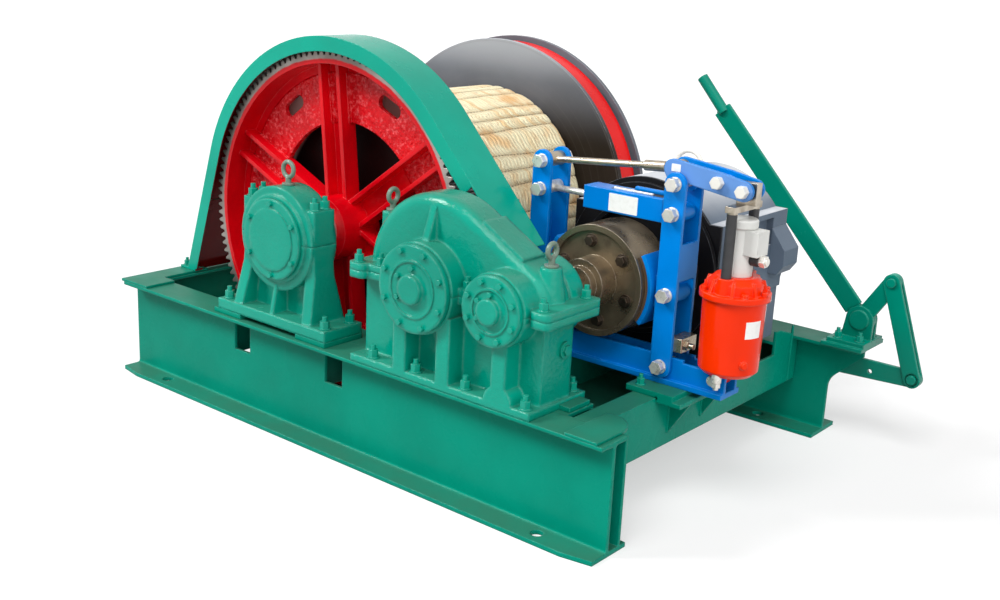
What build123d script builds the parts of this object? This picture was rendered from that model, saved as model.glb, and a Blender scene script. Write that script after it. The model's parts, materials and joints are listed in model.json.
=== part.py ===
from build123d import *
import os
from math import acos, asin, atan2, cos, degrees, pi, radians, sin, sqrt, tan

# Single-drum electric winch in millimetres: +Z up, X along the front beam,
# Y from the front beam to the rear one.
# The origin lies on the floor, at the centre of the four foundation holes.

# Foundation holes
HOLE_SPACING_X = 1490
HOLE_SPACING_Y = 1134
HOLE_RADIUS = 17
HOLE_TO_WEB = 38  # each row of holes lies this far in front of its beam's web

# Beams
BEAM_LEFT = 945  # from the origin to the left ends
FRONT_BEAM_LENGTH = 1872
REAR_LEG_LENGTH = 1889
CANTILEVER = 101  # the rear beam's top runs on past its leg
CANTILEVER_DEPTH = 31
CANTILEVER_FOOT = 172  # height where the rear beam's end starts to slope out
CANTILEVER_FILLET = 60
BEAM_HEIGHT = 296
BEAM_WEB = 10
TOP_FLANGE = 108
TOP_FLANGE_THICK = 10
BOTTOM_FLANGE = 154
BOTTOM_FLANGE_THICK = 12
BEAM_FILLET = 8
FLANGE_CORNER_X = 85
FLANGE_CORNER_Y = 15
WINDOW_WIDTH = 70
WINDOW_HEIGHT = 84
WINDOW_SILL = 181
WINDOW_CENTRES = (-413, -16)
BEAM_END_PLATE = 97
PLATE = 8

# Cross members
CROSS_HEIGHT = 146
CROSS_WEB = 9
SIDE_FLANGE = 70
MIDDLE_FLANGE = 125
RIGHT_CROSS_X = 837
MIDDLE_CROSS_X = 300
MOTOR_NOTCH_DEPTH = 39
MOTOR_NOTCH = (341, 442)
END_PLATE_RISE = 33
END_PLATE_FALL = 27
BED_PLATE = 12
BED_LEFT = -500
BED_RIGHT = 748
BED_BACK = -364
BED_WEB_LEFT = 45
BED_GUSSETS = (-494, -340, -90, 51, 250, 520)
CORNER_LEFT_X = 132
CORNER_LEFT_STRIP = 77
CORNER_LEFT_END = -300
CORNER_OVERHANG = 12

# Drum line
DRUM_X = -247
DRUM_Z = 562
DRUM_SHAFT_R = 60
DRUM_JOURNAL_R = 55
BARREL_R = 360
BARREL_WALL = 20
WRAP_THICK = 19
WRAP_BANDS = 30
WRAP_GROOVE = 6
NEAR_FLANGE_R = 500
NEAR_FLANGE_Y = -211
DRUM_FRONT = -199
DRUM_BACK = 411
FLANGE_PLATE = 15
FAR_FLANGE_LIP = 24  # how far the far flange stands out past the brake rim
BRAKE_RIM_R = 508
BRAKE_RIM_WALL = 16
BRAKE_RIM_END = 523
RIM_PLATE = 14
RIM_PLATE_LIP = 31
RIM_PLATE_BORE = 440

# Open gear pair
OPEN_MODULE = 8
BULL_TEETH = 129
OPEN_PINION_TEETH = 17
BULL_FRONT = -337
BULL_WIDTH = 102
BULL_RIM = 25  # thickness under the teeth
BULL_WEB_R = 310
BULL_WEB = 16
BULL_WEB_DEPTH = 70
BULL_ARMS = 6
BULL_ARM_ANGLE = 96
BULL_ARM_WIDTH = 88
BULL_ARM_RIB = 13
BULL_ARM_DEPTH = 31
BULL_HUB_R = 95
BULL_HUB_FRONT = -366
BULL_HUB_BACK = -225
BULL_HOLE_R = 407
BULL_HOLE_LENGTH = 92
BULL_HOLE_WIDTH = 42
PRESSURE_ANGLE = radians(20)
BACKLASH = 1.0

# Pedestals of the drum shaft
PEDESTAL_FRONT_Y = -498
PEDESTAL_REAR_Y = 607
PEDESTAL_LENGTH = 462
PEDESTAL_WIDTH_FRONT = 144
PEDESTAL_WIDTH_REAR = 116
PEDESTAL_PLATE = 32
PEDESTAL_PAD = 15
PAD_LENGTH = 120
PAD_OVERHANG = 20
HOUSING_R = 150
HOUSING_DEPTH = 92
HOUSING_RING_R = 127
HOUSING_RING = 8
CAP_HALF_WIDTH = 150
CAP_LEDGE = 100
COLUMN_DEPTH = 74
LEG_SPREAD = 166
LEG_THICK = 30
LEG_RIB = 14
LEG_WALL = 20
WAIST_DROP = 60
COVER_R = 117
COVER_PLATE = 12
COVER_FACE_R = 90
COVER_FACE = 3
DRUM_BEARING_R = 95
DRUM_BEARING_WIDTH = 60
CAP_BOLT_X = 131
CAP_BOLT_Y = 19
FOOT_BOLT_X = 207
FOOT_BOLT_Y = 48
FOOT_BOLT_Y_REAR = 36
COVER_BOLT_R = 104
RUNNING_FIT = 0.05
OPEN_FIT = 2

# Guard round the bull gear
GUARD_GAP = 36  # from the bull gear's tooth tips to the guard's outside
GUARD_SHEET = 4
GUARD_LIP = 44
GUARD_FRONT = -357
GUARD_BACK = -215
GUARD_LEFT_ANGLE = 162.5
GUARD_RIGHT_ANGLE = 43
GUARD_RIGHT_LENGTH = 432
GUARD_LIP_LENGTH = 224
GUARD_LUG_X = 78
GUARD_LUG_Y = 30
GUARD_POST_X = 337
GUARD_POST_WIDTH = 40

# Gearbox
SHAFT_Z = 549
GEAR_MODULE = 4
GEAR_TEETH = 106
PINION_TEETH = 22
GEAR_FACE = 70
BOX_Y = -467
BOX_WIDTH = 120
BOX_WALL = 10
BOX_RIGHT = 702
BOX_FOOT_LEFT = 100
BOX_FOOT_RIGHT = 712
BOX_FOOT_WIDTH = 230
BOX_FOOT = 21
SHIM = (33, 85, 13)
SPLIT_FLANGE = 20
SPLIT_LEFT = 80
SPLIT_RIGHT = 748
SPLIT_WIDTH = 186
SPLIT_EAR_WIDTH = 224
SPLIT_EAR = 58
DOME_LARGE_R = 234
DOME_SMALL_R = 107
DOME_EDGE = 32
BOSS_MARGIN = 5
INPUT_BACK_MARGIN = 17
INSPECTION_PLATE = (150, 84, 6)
INSPECTION_PLACE = 110  # down the slope from where it leaves the large dome
BOSS_PAST_FOOT = 2
BOSS_BACK = -362
BOX_CAP = 18
BOX_BACK_CAP = 15
LARGE_CAP_R = 115
SMALL_CAP_R = 88.7
LARGE_CAP_BOSS_R = 38
SMALL_CAP_BOSS_R = 33
CAP_BOSS = 14
CAP_RING = 3
CAP_SCREWS = 8
CAP_SCREW_ANGLE = 67.5
CAP_PLUGS = 3
CAP_PLUG = 13
CAP_PLUG_PLACE = 0.48
OUTPUT_R = 40
INPUT_R = 30
OUTPUT_BEARING_R = 75
INPUT_BEARING_R = 60
BOX_BEARING = 30
BOX_RIB_WIDTH = 44
LARGE_CAP_RIBS = (-58, 92)  # front ribs' places along X from the cap's centre
SMALL_CAP_RIB = 18
BOX_HUMP_R = 43
BOX_FOOT_BOLTS = (167, 323, 493, 685)
BOX_BOLT_INSET = 20
SPLIT_BOLTS = ((105, 92), (172, 77), (472, 77), (716, 86))  # X, and the distance from the middle plane
RIGHT_EYE_X = 668
RIGHT_EYE_TOP = 652
LEFT_EYE_X = 136
LEFT_EYE_TOP = 700
EYE_BOSS_R = 26
EYE_BOSS_FOOT_R = 40
DRAIN_Z = 445
DRAIN_Y = -441

# Brake wheel, coupling and motor
WHEEL_R = 150
WHEEL_FRONT = -176
WHEEL_WIDTH = 140
WHEEL_RIM = 16
WHEEL_WEB = 40
WHEEL_RECESS = 8
WHEEL_HUB_R = 68
WHEEL_HUB_FRONT = -232
WHEEL_NOSE_R = 50
WHEEL_NOSE_FRONT = -256
WHEEL_PINS = 6
WHEEL_PIN_CIRCLE = 107
WHEEL_PIN_R = 12
WHEEL_PIN_ANGLE = 100
COUPLING_GAP = 4
COUPLING_WIDTH = 34
MOTOR_R = 250
MOTOR_SIDE = 236  # half width of the boxed lower part
MOTOR_SHOULDER = 152
MOTOR_BOX_DROP = 231
MOTOR_FRONT = 60
MOTOR_BACK = 440
MOTOR_WALL = 14
MOTOR_SHIELD_R = 236
MOTOR_SHIELD_RING_R = 186
MOTOR_SHIELD_FRONT = 22
MOTOR_SHIELD_NOSE_R = 95
MOTOR_RECESS = (22, 120, 78)
MOTOR_RECESS_Y = 300
MOTOR_LIP = 16
MOTOR_FOOT_X = 203
MOTOR_FOOT_WIDTH = 74
MOTOR_FOOT_LENGTH = 60
MOTOR_FOOT_Y = (100, 300)
MOTOR_SHAFT_R = 32
ROTOR_R = 150
ROTOR_Y = (120, 380)
TERMINAL_BOX = (46, 86, 132)
TERMINAL_BOX_Z = 590
TERMINAL_BOX_Y = 397

# Thruster-released shoe brake
BRAKE_Y = -104
BRAKE_ARM_OFFSET = 209
BRAKE_PIVOT_Z = 357
SPRING_Z = 760
LEVER_Z = 837
ARM_WIDTH = 60
ARM_PLATE = 10
ARM_GAP = 74  # between the two plates of an arm
SHOE_WRAP = 34  # degrees each side of the level
SHOE_GAP = 0.4
LINING = 8
SHOE_PLATE = 11
SHOE_WIDTH = 108
SHOE_LUG_WIDTH = 60
PIN_R = 13
PIN_HEAD_R = 19
PIN_FIT = 0.3
BRACKET_TOP = 16
BRACKET_X = (745, 885)
BRACKET_Y = (-215, 44)
BRACKET_REACH = 73
BRACKET_GUSSETS = (-140, 30)
BRACKET_GUSSET_DROP = 104
BASE_PLATE = 14
BASE_WIDTH = 92
BASE_CHEEK = 10
BASE_CHEEK_GAP = 46
BASE_CHEEK_TOP = 384
BASE_LEFT = 345
BASE_RIGHT = 985
SPRING_BOX = (245, 64, 60)
SPRING_BOX_WALL = 5
SPRING_BOX_RIGHT = 762
SPRING_ROD_R = 9
SPRING_R = 22
SPRING_WIRE = 7
SPRING_STROKE = 10
TIE_ROD_R = 9
TIE_SLEEVE_R = 14
TIE_SLEEVE = 62
TIE_PIN = (-20, 35)  # from the lever's pivot
LEVER_PLATE = 10
LEVER_GAP = 44
LEVER_MIDDLE = (112, 20)
LEVER_END = (181, 8)
LEVER_EYE_R = 25
THRUSTER_X = 972
THRUSTER_R = 80
THRUSTER_LOW_R = 76
THRUSTER_FOOT_R = 64
THRUSTER_Z = 378
THRUSTER_FLANGE_Z = 575
THRUSTER_FLANGE_R = 89
THRUSTER_CAP_R = 82
THRUSTER_FLANGE = 16
THRUSTER_CONE_TOP = 632
THRUSTER_CONE_R = 70
THRUSTER_SHOULDER = 16
THRUSTER_RIBS = 8
THRUSTER_RIB = 7
THRUSTER_MOTOR_R = 40
THRUSTER_MOTOR_TOP = 775
THRUSTER_LID = 20
THRUSTER_LID_EDGE = 4
THRUSTER_BOX = (22, 54, 62)
GLAND_R = 12
THRUSTER_PIN = (953, 356)
TUBE_R = 13
TUBE_OFFSET = 56
TUBE_DEPTH = 75
CROSSHEAD_Z = 795
CROSSHEAD = (26, 140, 16)
CROSSHEAD_LUG = 26
CROSSHEAD_SLOT = 14

# Hand-lever band brake
BAND_Y = 475
BAND_WIDTH = 70
BAND_LINING = 8
BAND_SHEET = 6
BAND_GAP = 0.8
BAND_END_ANGLE = 285
ANCHOR_GAP = 29.5  # from the outer plate's edge to the dead end's pin
BAND_EYE_R = 20
BAND_PIN_R = 12
BRAKE_SHAFT_X = 355
BRAKE_SHAFT_Z = 215
BRAKE_SHAFT_R = 22
BUSH_R = 34
BUSH_LENGTH = 40
CRANK_PIN_Z = 228
CRANK_PLATE = 14
HAND_Y = 620
HAND_SETBACK = 29  # from the rear beam's end to the lever's pivot
HAND_Z = 375
HAND_BAR_REACH = 518
HAND_BAR_RISE = 549
HAND_GRIP_REACH = 606
HAND_GRIP_RISE = 648
HAND_CRANK_REACH = 80
HAND_CRANK_RISE = 129
LINK_REACH = 95
LINK_DROP = 272
LOWER_HOLE_X = 1063
HAND_BAR_WIDTH = 46
HAND_PLATE = 12
GRIP_R = 17
HAND_PIN_R = 14
HAND_EYE_R = 25
HAND_PIVOT_R = 42
HAND_PIN_HEAD_R = 29
HAND_PIN_HEAD = 5
LINK_PLATE = 6
LINK_SLACK = 5
HAND_BASE_LEFT = 81
HAND_BASE_RIGHT = 46
HAND_BASE_Y = (533, 693)
HAND_BASE = 12
HAND_CHEEK = 10
SIDE_FIT = 1

# Fasteners
BOLT = 24  # across flats of the large nuts
SCREW = 14
WASHER = 3
EYE_RING_R = 24
EYE_WIRE_R = 6.5
EYE_STEM = 16
PEDESTAL_EYE_R = 28
MOTOR_BAIL_R = 47
MOTOR_BAIL_RISE = 12

# Places that follow from the sizes above
FRONT_Y = HOLE_TO_WEB - HOLE_SPACING_Y / 2
REAR_Y = HOLE_TO_WEB + HOLE_SPACING_Y / 2
DECK = BEAM_HEIGHT
GUARD_FOOT_Z = DECK + 2 * PLATE
CROSS_BOTTOM = DECK - CROSS_HEIGHT
FRONT_FLANGE_BACK = FRONT_Y + TOP_FLANGE / 2
REAR_FLANGE_FRONT = REAR_Y - TOP_FLANGE / 2
FRONT_WEB_BACK = FRONT_Y + BEAM_WEB / 2
REAR_WEB_FRONT = REAR_Y - BEAM_WEB / 2
CHANNEL_END = REAR_WEB_FRONT - BEAM_FILLET
FRONT_BEAM_RIGHT = FRONT_BEAM_LENGTH - BEAM_LEFT
REAR_LEG_RIGHT = REAR_LEG_LENGTH - BEAM_LEFT
CANTILEVER_END = REAR_LEG_RIGHT + CANTILEVER
RIGHT_FLANGE_TIP = RIGHT_CROSS_X - SIDE_FLANGE
OPEN_CENTRES = OPEN_MODULE * (BULL_TEETH + OPEN_PINION_TEETH) / 2
OUTPUT_X = DRUM_X + sqrt(OPEN_CENTRES**2 - (DRUM_Z - SHAFT_Z)**2)
OPEN_ANGLE = degrees(atan2(SHAFT_Z - DRUM_Z, OUTPUT_X - DRUM_X))
INPUT_X = OUTPUT_X + GEAR_MODULE * (GEAR_TEETH + PINION_TEETH) / 2
BULL_TIP_R = OPEN_MODULE * (BULL_TEETH / 2 + 1)
BULL_RIM_R = OPEN_MODULE * (BULL_TEETH / 2 - 1.25) - BULL_RIM
GUARD_R = BULL_TIP_R + GUARD_GAP
WRAP_R = BARREL_R + WRAP_THICK
FAR_FLANGE_R = BRAKE_RIM_R + FAR_FLANGE_LIP
RIM_PLATE_R = BRAKE_RIM_R + RIM_PLATE_LIP
BULL_BACK = BULL_FRONT + BULL_WIDTH
BULL_WEB_FRONT = BULL_FRONT + BULL_WEB_DEPTH
FAR_FLANGE_BACK = DRUM_BACK + FLANGE_PLATE
RIM_PLATE_BACK = BRAKE_RIM_END + RIM_PLATE
PEDESTAL_Z = DECK + PEDESTAL_PAD
PEDESTAL_TOP = PEDESTAL_Z + PEDESTAL_PLATE
BOX_FRONT = BOX_Y - BOX_WIDTH / 2
BOX_BACK = BOX_Y + BOX_WIDTH / 2
BOX_LEFT = OUTPUT_X - DOME_LARGE_R
BOX_FOOT_TOP = DECK + BOX_FOOT
BOX_FOOT_FRONT = BOX_Y - BOX_FOOT_WIDTH / 2
BOSS_FRONT = BOX_FOOT_FRONT - BOSS_PAST_FOOT
SPLIT_TOP = SHAFT_Z + SPLIT_FLANGE
SPLIT_BOTTOM = SHAFT_Z - SPLIT_FLANGE
CAP_FRONT = BOSS_FRONT - BOX_CAP
CAP_BACK = BOSS_BACK + BOX_BACK_CAP
WHEEL_BACK = WHEEL_FRONT + WHEEL_WIDTH
COUPLING_FRONT = WHEEL_BACK + COUPLING_GAP
COUPLING_BACK = COUPLING_FRONT + COUPLING_WIDTH
BRAKE_SEAT = DECK + BRACKET_TOP
BASE_TOP = BRAKE_SEAT + BASE_PLATE
LEFT_ARM_X = INPUT_X - BRAKE_ARM_OFFSET
RIGHT_ARM_X = INPUT_X + BRAKE_ARM_OFFSET
ARM_OUTSIDE = ARM_GAP / 2 + ARM_PLATE
SHOE_R = WHEEL_R + SHOE_GAP + LINING
TIE_RIGHT = (RIGHT_ARM_X + TIE_PIN[0], LEVER_Z + TIE_PIN[1])
LEVER_TIP = (RIGHT_ARM_X + LEVER_END[0], LEVER_Z + LEVER_END[1])
LINING_R = BRAKE_RIM_R + BAND_GAP + BAND_LINING
BAND_R = LINING_R + BAND_SHEET
BAND_MIDDLE_R = LINING_R + BAND_SHEET / 2
BAND_LIVE_X = DRUM_X + BAND_MIDDLE_R
BAND_DEAD_LENGTH = sqrt((RIM_PLATE_R + ANCHOR_GAP)**2 - BAND_MIDDLE_R**2)
HAND_SEAT = DECK + 2 * HAND_BASE
HAND_X = CANTILEVER_END - HAND_SETBACK
HAND_PIVOT = (HAND_X, HAND_Z)
HAND_BAR_END = (HAND_X - HAND_BAR_REACH, HAND_Z + HAND_BAR_RISE)
HAND_GRIP_END = (HAND_X - HAND_GRIP_REACH, HAND_Z + HAND_GRIP_RISE)
HAND_CRANK = (HAND_X + HAND_CRANK_REACH, HAND_Z + HAND_CRANK_RISE)
LINK_FOOT = (HAND_CRANK[0] + LINK_REACH, HAND_CRANK[1] - LINK_DROP)
HAND_BASE_X = (HAND_X - HAND_BASE_LEFT, HAND_X + HAND_BASE_RIGHT)
PEDESTALS = {"front": (PEDESTAL_FRONT_Y, PEDESTAL_WIDTH_FRONT),
             "rear": (PEDESTAL_REAR_Y, PEDESTAL_WIDTH_REAR)}


def block(x, y, z):
    """Box between pairs of limits along X, Y and Z"""
    centre = [(low + high) / 2 for low, high in (x, y, z)]
    size = [high - low for low, high in (x, y, z)]
    return Pos(*centre) * Box(*size)


def about(centre, width):
    """Limits of a width round a centre"""
    return centre - width / 2, centre + width / 2


def rod_x(y, z, radius, x):
    """Round bar along X"""
    return Pos((x[0] + x[1]) / 2, y, z) * Rot(0, 90, 0) * Cylinder(radius, x[1] - x[0])


def rod_y(x, z, radius, y):
    """Round bar along Y"""
    return Pos(x, (y[0] + y[1]) / 2, z) * Rot(90, 0, 0) * Cylinder(radius, y[1] - y[0])


def rod_z(x, y, radius, z):
    """Round bar along Z"""
    return Pos(x, y, (z[0] + z[1]) / 2) * Cylinder(radius, z[1] - z[0])


def outline(*points):
    """Closed flat shape through points"""
    return make_face(Polyline(*points, close=True))


def slab_x(shape, x):
    """Shape drawn in Y and Z, thick along X"""
    return extrude(Plane((x[0], 0, 0), x_dir=(0, 1, 0), z_dir=(1, 0, 0)) * shape, amount=x[1] - x[0])


def slab_y(shape, y):
    """Shape drawn in X and Z, thick along Y"""
    return extrude(Plane((0, y[1], 0), x_dir=(1, 0, 0), z_dir=(0, -1, 0)) * shape, amount=y[1] - y[0])


def slab_z(shape, z):
    """Shape drawn in X and Y, thick along Z"""
    return extrude(Plane((0, 0, z[0])) * shape, amount=z[1] - z[0])


def turned_y(x, z, *points):
    """Body turned about an axis along Y, from points of radius and Y"""
    return Pos(x, 0, z) * revolve(outline(*points), Axis.Y)


def turned_z(x, y, *points):
    """Body turned about an axis along Z, from points of radius and Z"""
    return Pos(x, y, 0) * revolve(Plane.XZ * outline(*points), Axis.Z)


def ring_y(x, z, outer, inner, y):
    """Tube along Y"""
    return turned_y(x, z, (inner, y[0]), (outer, y[0]), (outer, y[1]), (inner, y[1]))


def disc_at(x, z, radius):
    """Circle drawn in X and Z"""
    return Pos(x, z) * Circle(radius)


def strap(first, second, radius_first, radius_second):
    """Flat bar's outline round two eyes, drawn in X and Z"""
    eyes = disc_at(*first, radius_first).edges() + disc_at(*second, radius_second).edges()
    return make_hull(eyes)


def around(count, radius, start, x, z):
    """Places on a circle drawn in X and Z"""
    angles = [radians(start + 360 * k / count) for k in range(count)]
    return [(x + radius * cos(a), z + radius * sin(a)) for a in angles]


def mirror_pair(centre, offset):
    """The two places at an offset each side of a centre"""
    return centre - offset, centre + offset


def group(solids):
    """Separate solids kept in one node"""
    return Compound(children=[solid for shape in solids for solid in shape.solids()])


def nut_z(x, y, z, flats=BOLT):
    """Washer, nut and stud end on a level face"""
    washer = rod_z(x, y, 0.75 * flats, (z, z + 0.12 * flats))
    nut = slab_z(Pos(x, y) * RegularPolygon(flats / 2, 6, major_radius=False), (z, z + 0.95 * flats))
    return washer + nut + rod_z(x, y, 0.3 * flats, (z, z + 1.5 * flats))


def head_y(x, z, y, flats=SCREW, side=-1):
    """Hexagon head on a face square to Y; side -1 looks to the front"""
    height = 0.6 * flats
    limits = (y - height, y) if side < 0 else (y, y + height)
    return slab_y(Pos(x, z) * RegularPolygon(flats / 2, 6, major_radius=False), limits)


def eye_bolt(x, y, z, ring_r=EYE_RING_R, turn=0):
    """Eye bolt standing on a level face, its ring facing the front unless turned"""
    collar = rod_z(0, 0, 0.75 * EYE_RING_R, (0, 0.35 * EYE_STEM))
    stem = rod_z(0, 0, 1.3 * EYE_WIRE_R, (0, EYE_STEM + EYE_WIRE_R))
    ring = Pos(0, 0, EYE_STEM + ring_r) * Rot(90, 0, 0) * Torus(ring_r - EYE_WIRE_R, EYE_WIRE_R)
    return Pos(x, y, z) * Rot(0, 0, turn) * (collar + stem + ring)


def involute(angle):
    return tan(angle) - angle


def gear_outline(module, teeth, tooth_angle):
    """Spur gear with one tooth centred on an angle, drawn round the origin"""
    pitch = module * teeth / 2
    base = pitch * cos(PRESSURE_ANGLE)
    root = pitch - 1.25 * module
    thickness = (pi * module - BACKLASH) / (4 * pitch)

    def half(radius):
        turn = acos(min(1, base / radius))
        return thickness + involute(PRESSURE_ANGLE) - involute(turn)

    flank = [root] + [r for r in (base, pitch - module / 2) if root < r < pitch] + [pitch, pitch + module]
    points = []
    for tooth in range(teeth):
        middle = radians(tooth_angle) + 2 * pi * tooth / teeth
        rising = [(r, middle - half(r)) for r in flank]
        falling = [(r, middle + half(r)) for r in reversed(flank)]
        points += [(r * cos(a), r * sin(a)) for r, a in rising + falling]
    return outline(*points)


# Welded bed

def beam_section(web_y):
    """I-section drawn in Y and Z"""
    top = Pos(web_y, BEAM_HEIGHT - TOP_FLANGE_THICK / 2) * Rectangle(TOP_FLANGE, TOP_FLANGE_THICK)
    web = Pos(web_y, BEAM_HEIGHT / 2) * Rectangle(BEAM_WEB, BEAM_HEIGHT)
    bottom = Pos(web_y, BOTTOM_FLANGE_THICK / 2) * Rectangle(BOTTOM_FLANGE, BOTTOM_FLANGE_THICK)
    section = top + web + bottom
    corners = [v for v in section.vertices() if abs(v.X - web_y) < BEAM_WEB]
    return fillet(corners, BEAM_FILLET)


def foundation_holes(row_y):
    """Cutters for one row of foundation holes"""
    return [rod_z(x, row_y, HOLE_RADIUS, (-1, BOTTOM_FLANGE_THICK + 1))
            for x in mirror_pair(0, HOLE_SPACING_X / 2)]


def front_beam():
    beam = slab_x(beam_section(FRONT_Y), (-BEAM_LEFT, FRONT_BEAM_RIGHT))
    for centre in WINDOW_CENTRES:
        beam -= block(about(centre, WINDOW_WIDTH), about(FRONT_Y, 2 * BEAM_WEB),
                      (WINDOW_SILL, WINDOW_SILL + WINDOW_HEIGHT))
    edge = FRONT_Y - BOTTOM_FLANGE / 2
    for end, inward in ((-BEAM_LEFT, 1), (FRONT_BEAM_RIGHT, -1)):
        corner = outline((end, edge), (end + inward * FLANGE_CORNER_X, edge), (end, edge + FLANGE_CORNER_Y))
        beam -= slab_z(corner, (0, BOTTOM_FLANGE_THICK))
    stiffener = block((FRONT_BEAM_RIGHT - BEAM_END_PLATE, FRONT_BEAM_RIGHT),
                      (FRONT_FLANGE_BACK - PLATE, FRONT_FLANGE_BACK),
                      (BOTTOM_FLANGE_THICK, BEAM_HEIGHT - TOP_FLANGE_THICK))
    return beam + stiffener - foundation_holes(-HOLE_SPACING_Y / 2)


def rear_beam():
    beam = slab_x(beam_section(REAR_Y), (-BEAM_LEFT, CANTILEVER_END))
    under = BEAM_HEIGHT - CANTILEVER_DEPTH
    past = CANTILEVER_END + 1
    cut = outline((REAR_LEG_RIGHT, -1), (past, -1), (past, under), (CANTILEVER_END, under),
                  (REAR_LEG_RIGHT, CANTILEVER_FOOT))
    corner = cut.vertices().sort_by_distance((REAR_LEG_RIGHT, CANTILEVER_FOOT))[0]
    beam -= slab_y(fillet(corner, CANTILEVER_FILLET), about(REAR_Y, 2 * BOTTOM_FLANGE))
    beam -= rod_y(BRAKE_SHAFT_X, BRAKE_SHAFT_Z, BUSH_R, about(REAR_Y, 2 * BEAM_WEB))
    return beam - foundation_holes(HOLE_SPACING_Y / 2)


def channel_section(web_x, tip_x):
    """Channel drawn in X and Z, its web at one side and its flange tips at the other"""
    inward = 1 if tip_x > web_x else -1
    whole = block_outline((web_x, tip_x), (CROSS_BOTTOM, DECK))
    pocket = block_outline((web_x + inward * CROSS_WEB, tip_x + inward),
                           (CROSS_BOTTOM + CROSS_WEB, DECK - CROSS_WEB))
    return whole - pocket


def block_outline(x, z):
    """Rectangle between limits"""
    return Pos((x[0] + x[1]) / 2, (z[0] + z[1]) / 2) * Rectangle(abs(x[1] - x[0]), abs(z[1] - z[0]))


def coped(channel):
    """Cut a channel's ends clear of the beams' top flanges"""
    below = DECK - TOP_FLANGE_THICK
    span = (-BEAM_LEFT - 1, CANTILEVER_END)
    front = block(span, (FRONT_Y, FRONT_FLANGE_BACK), (below, DECK + 1))
    rear = block(span, (REAR_FLANGE_FRONT, REAR_Y), (below, DECK + 1))
    return channel - front - rear


def left_cross_channel():
    section = channel_section(-BEAM_LEFT, SIDE_FLANGE - BEAM_LEFT)
    return coped(slab_y(section, (FRONT_WEB_BACK + BEAM_FILLET, CHANNEL_END)))


def right_cross_channel():
    section = channel_section(RIGHT_CROSS_X, RIGHT_FLANGE_TIP)
    channel = coped(slab_y(section, (FRONT_FLANGE_BACK, CHANNEL_END)))
    channel -= block((RIGHT_FLANGE_TIP - 1, RIGHT_CROSS_X + 1), MOTOR_NOTCH,
                     (DECK - MOTOR_NOTCH_DEPTH, DECK + 1))
    peak = DECK + END_PLATE_RISE
    front = MOTOR_NOTCH[1]
    end = outline((front, CROSS_BOTTOM), (front, peak), (front + END_PLATE_FALL, peak),
                  (REAR_FLANGE_FRONT, peak - END_PLATE_FALL), (REAR_FLANGE_FRONT, CROSS_BOTTOM))
    return channel + slab_x(end, (RIGHT_CROSS_X - CROSS_WEB, RIGHT_CROSS_X))


def middle_cross_channel():
    section = channel_section(MIDDLE_CROSS_X + MIDDLE_FLANGE, MIDDLE_CROSS_X)
    return coped(slab_y(section, (BED_BACK, CHANNEL_END)))


def bed_plate():
    """Plate behind the front beam that carries the back feet, and a drip plate under the drive"""
    under = DECK - BED_PLATE
    plate = block((BED_LEFT, BED_RIGHT), (FRONT_FLANGE_BACK, BED_BACK), (under, DECK))
    plate += block((BED_WEB_LEFT, RIGHT_FLANGE_TIP), (BED_BACK - BED_PLATE, BED_BACK), (CROSS_BOTTOM, under))
    for x in BED_GUSSETS:
        plate += block(about(x, BED_PLATE), (FRONT_FLANGE_BACK, BED_BACK), (CROSS_BOTTOM, under))
        plate += block(about(x, BED_PLATE), (FRONT_WEB_BACK, FRONT_FLANGE_BACK),
                       (CROSS_BOTTOM, DECK - TOP_FLANGE_THICK - BEAM_FILLET))
    return plate + block((MIDDLE_CROSS_X + MIDDLE_FLANGE, RIGHT_FLANGE_TIP), (BED_BACK, CHANNEL_END),
                         (CROSS_BOTTOM, CROSS_BOTTOM + PLATE))


def corner_plates():
    """Plates on the front beam's ends: a square one with a strip, and one with a rounded corner"""
    left = -BEAM_LEFT - CORNER_OVERHANG
    front = FRONT_Y - TOP_FLANGE / 2
    layer = (DECK, DECK + PLATE)
    square = block((left, left + CORNER_LEFT_X), (front, FRONT_FLANGE_BACK), layer)
    strip = block((left, left + CORNER_LEFT_STRIP), (FRONT_FLANGE_BACK, CORNER_LEFT_END), layer)
    inner = RIGHT_CROSS_X - 2 * CROSS_WEB
    outer = FRONT_BEAM_RIGHT - FLANGE_CORNER_Y
    back = FRONT_FLANGE_BACK + SIDE_FLANGE
    bulge = (outer - 0.3 * SIDE_FLANGE, back - 0.3 * SIDE_FLANGE)
    rounded = make_face([Line((inner, front), (outer, front)),
                         Line((outer, front), (outer, FRONT_FLANGE_BACK)),
                         ThreePointArc((outer, FRONT_FLANGE_BACK), bulge, (inner, back)),
                         Line((inner, back), (inner, front))])
    return [square + strip, slab_z(rounded, layer)]


def pedestal_pads():
    """Machined pads under both ends of each pedestal"""
    pads = []
    half = PEDESTAL_LENGTH / 2
    for y, width in PEDESTALS.values():
        left = DRUM_X - half - PAD_OVERHANG
        right = DRUM_X + half
        pads.append(block((left, left + PAD_LENGTH), about(y, width), (DECK, PEDESTAL_Z)))
        pads.append(block((right - PAD_LENGTH, right), about(y, width), (DECK, PEDESTAL_Z)))
    return pads


def shim():
    """Shim that stands out beside the gearbox's foot"""
    length, width, height = SHIM
    back = BED_BACK - BED_PLATE
    return block((BOX_FOOT_RIGHT, BOX_FOOT_RIGHT + length), (back - width, back), (DECK, DECK + height))


def deck_plates():
    return group(corner_plates() + pedestal_pads() + [shim()])


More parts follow.
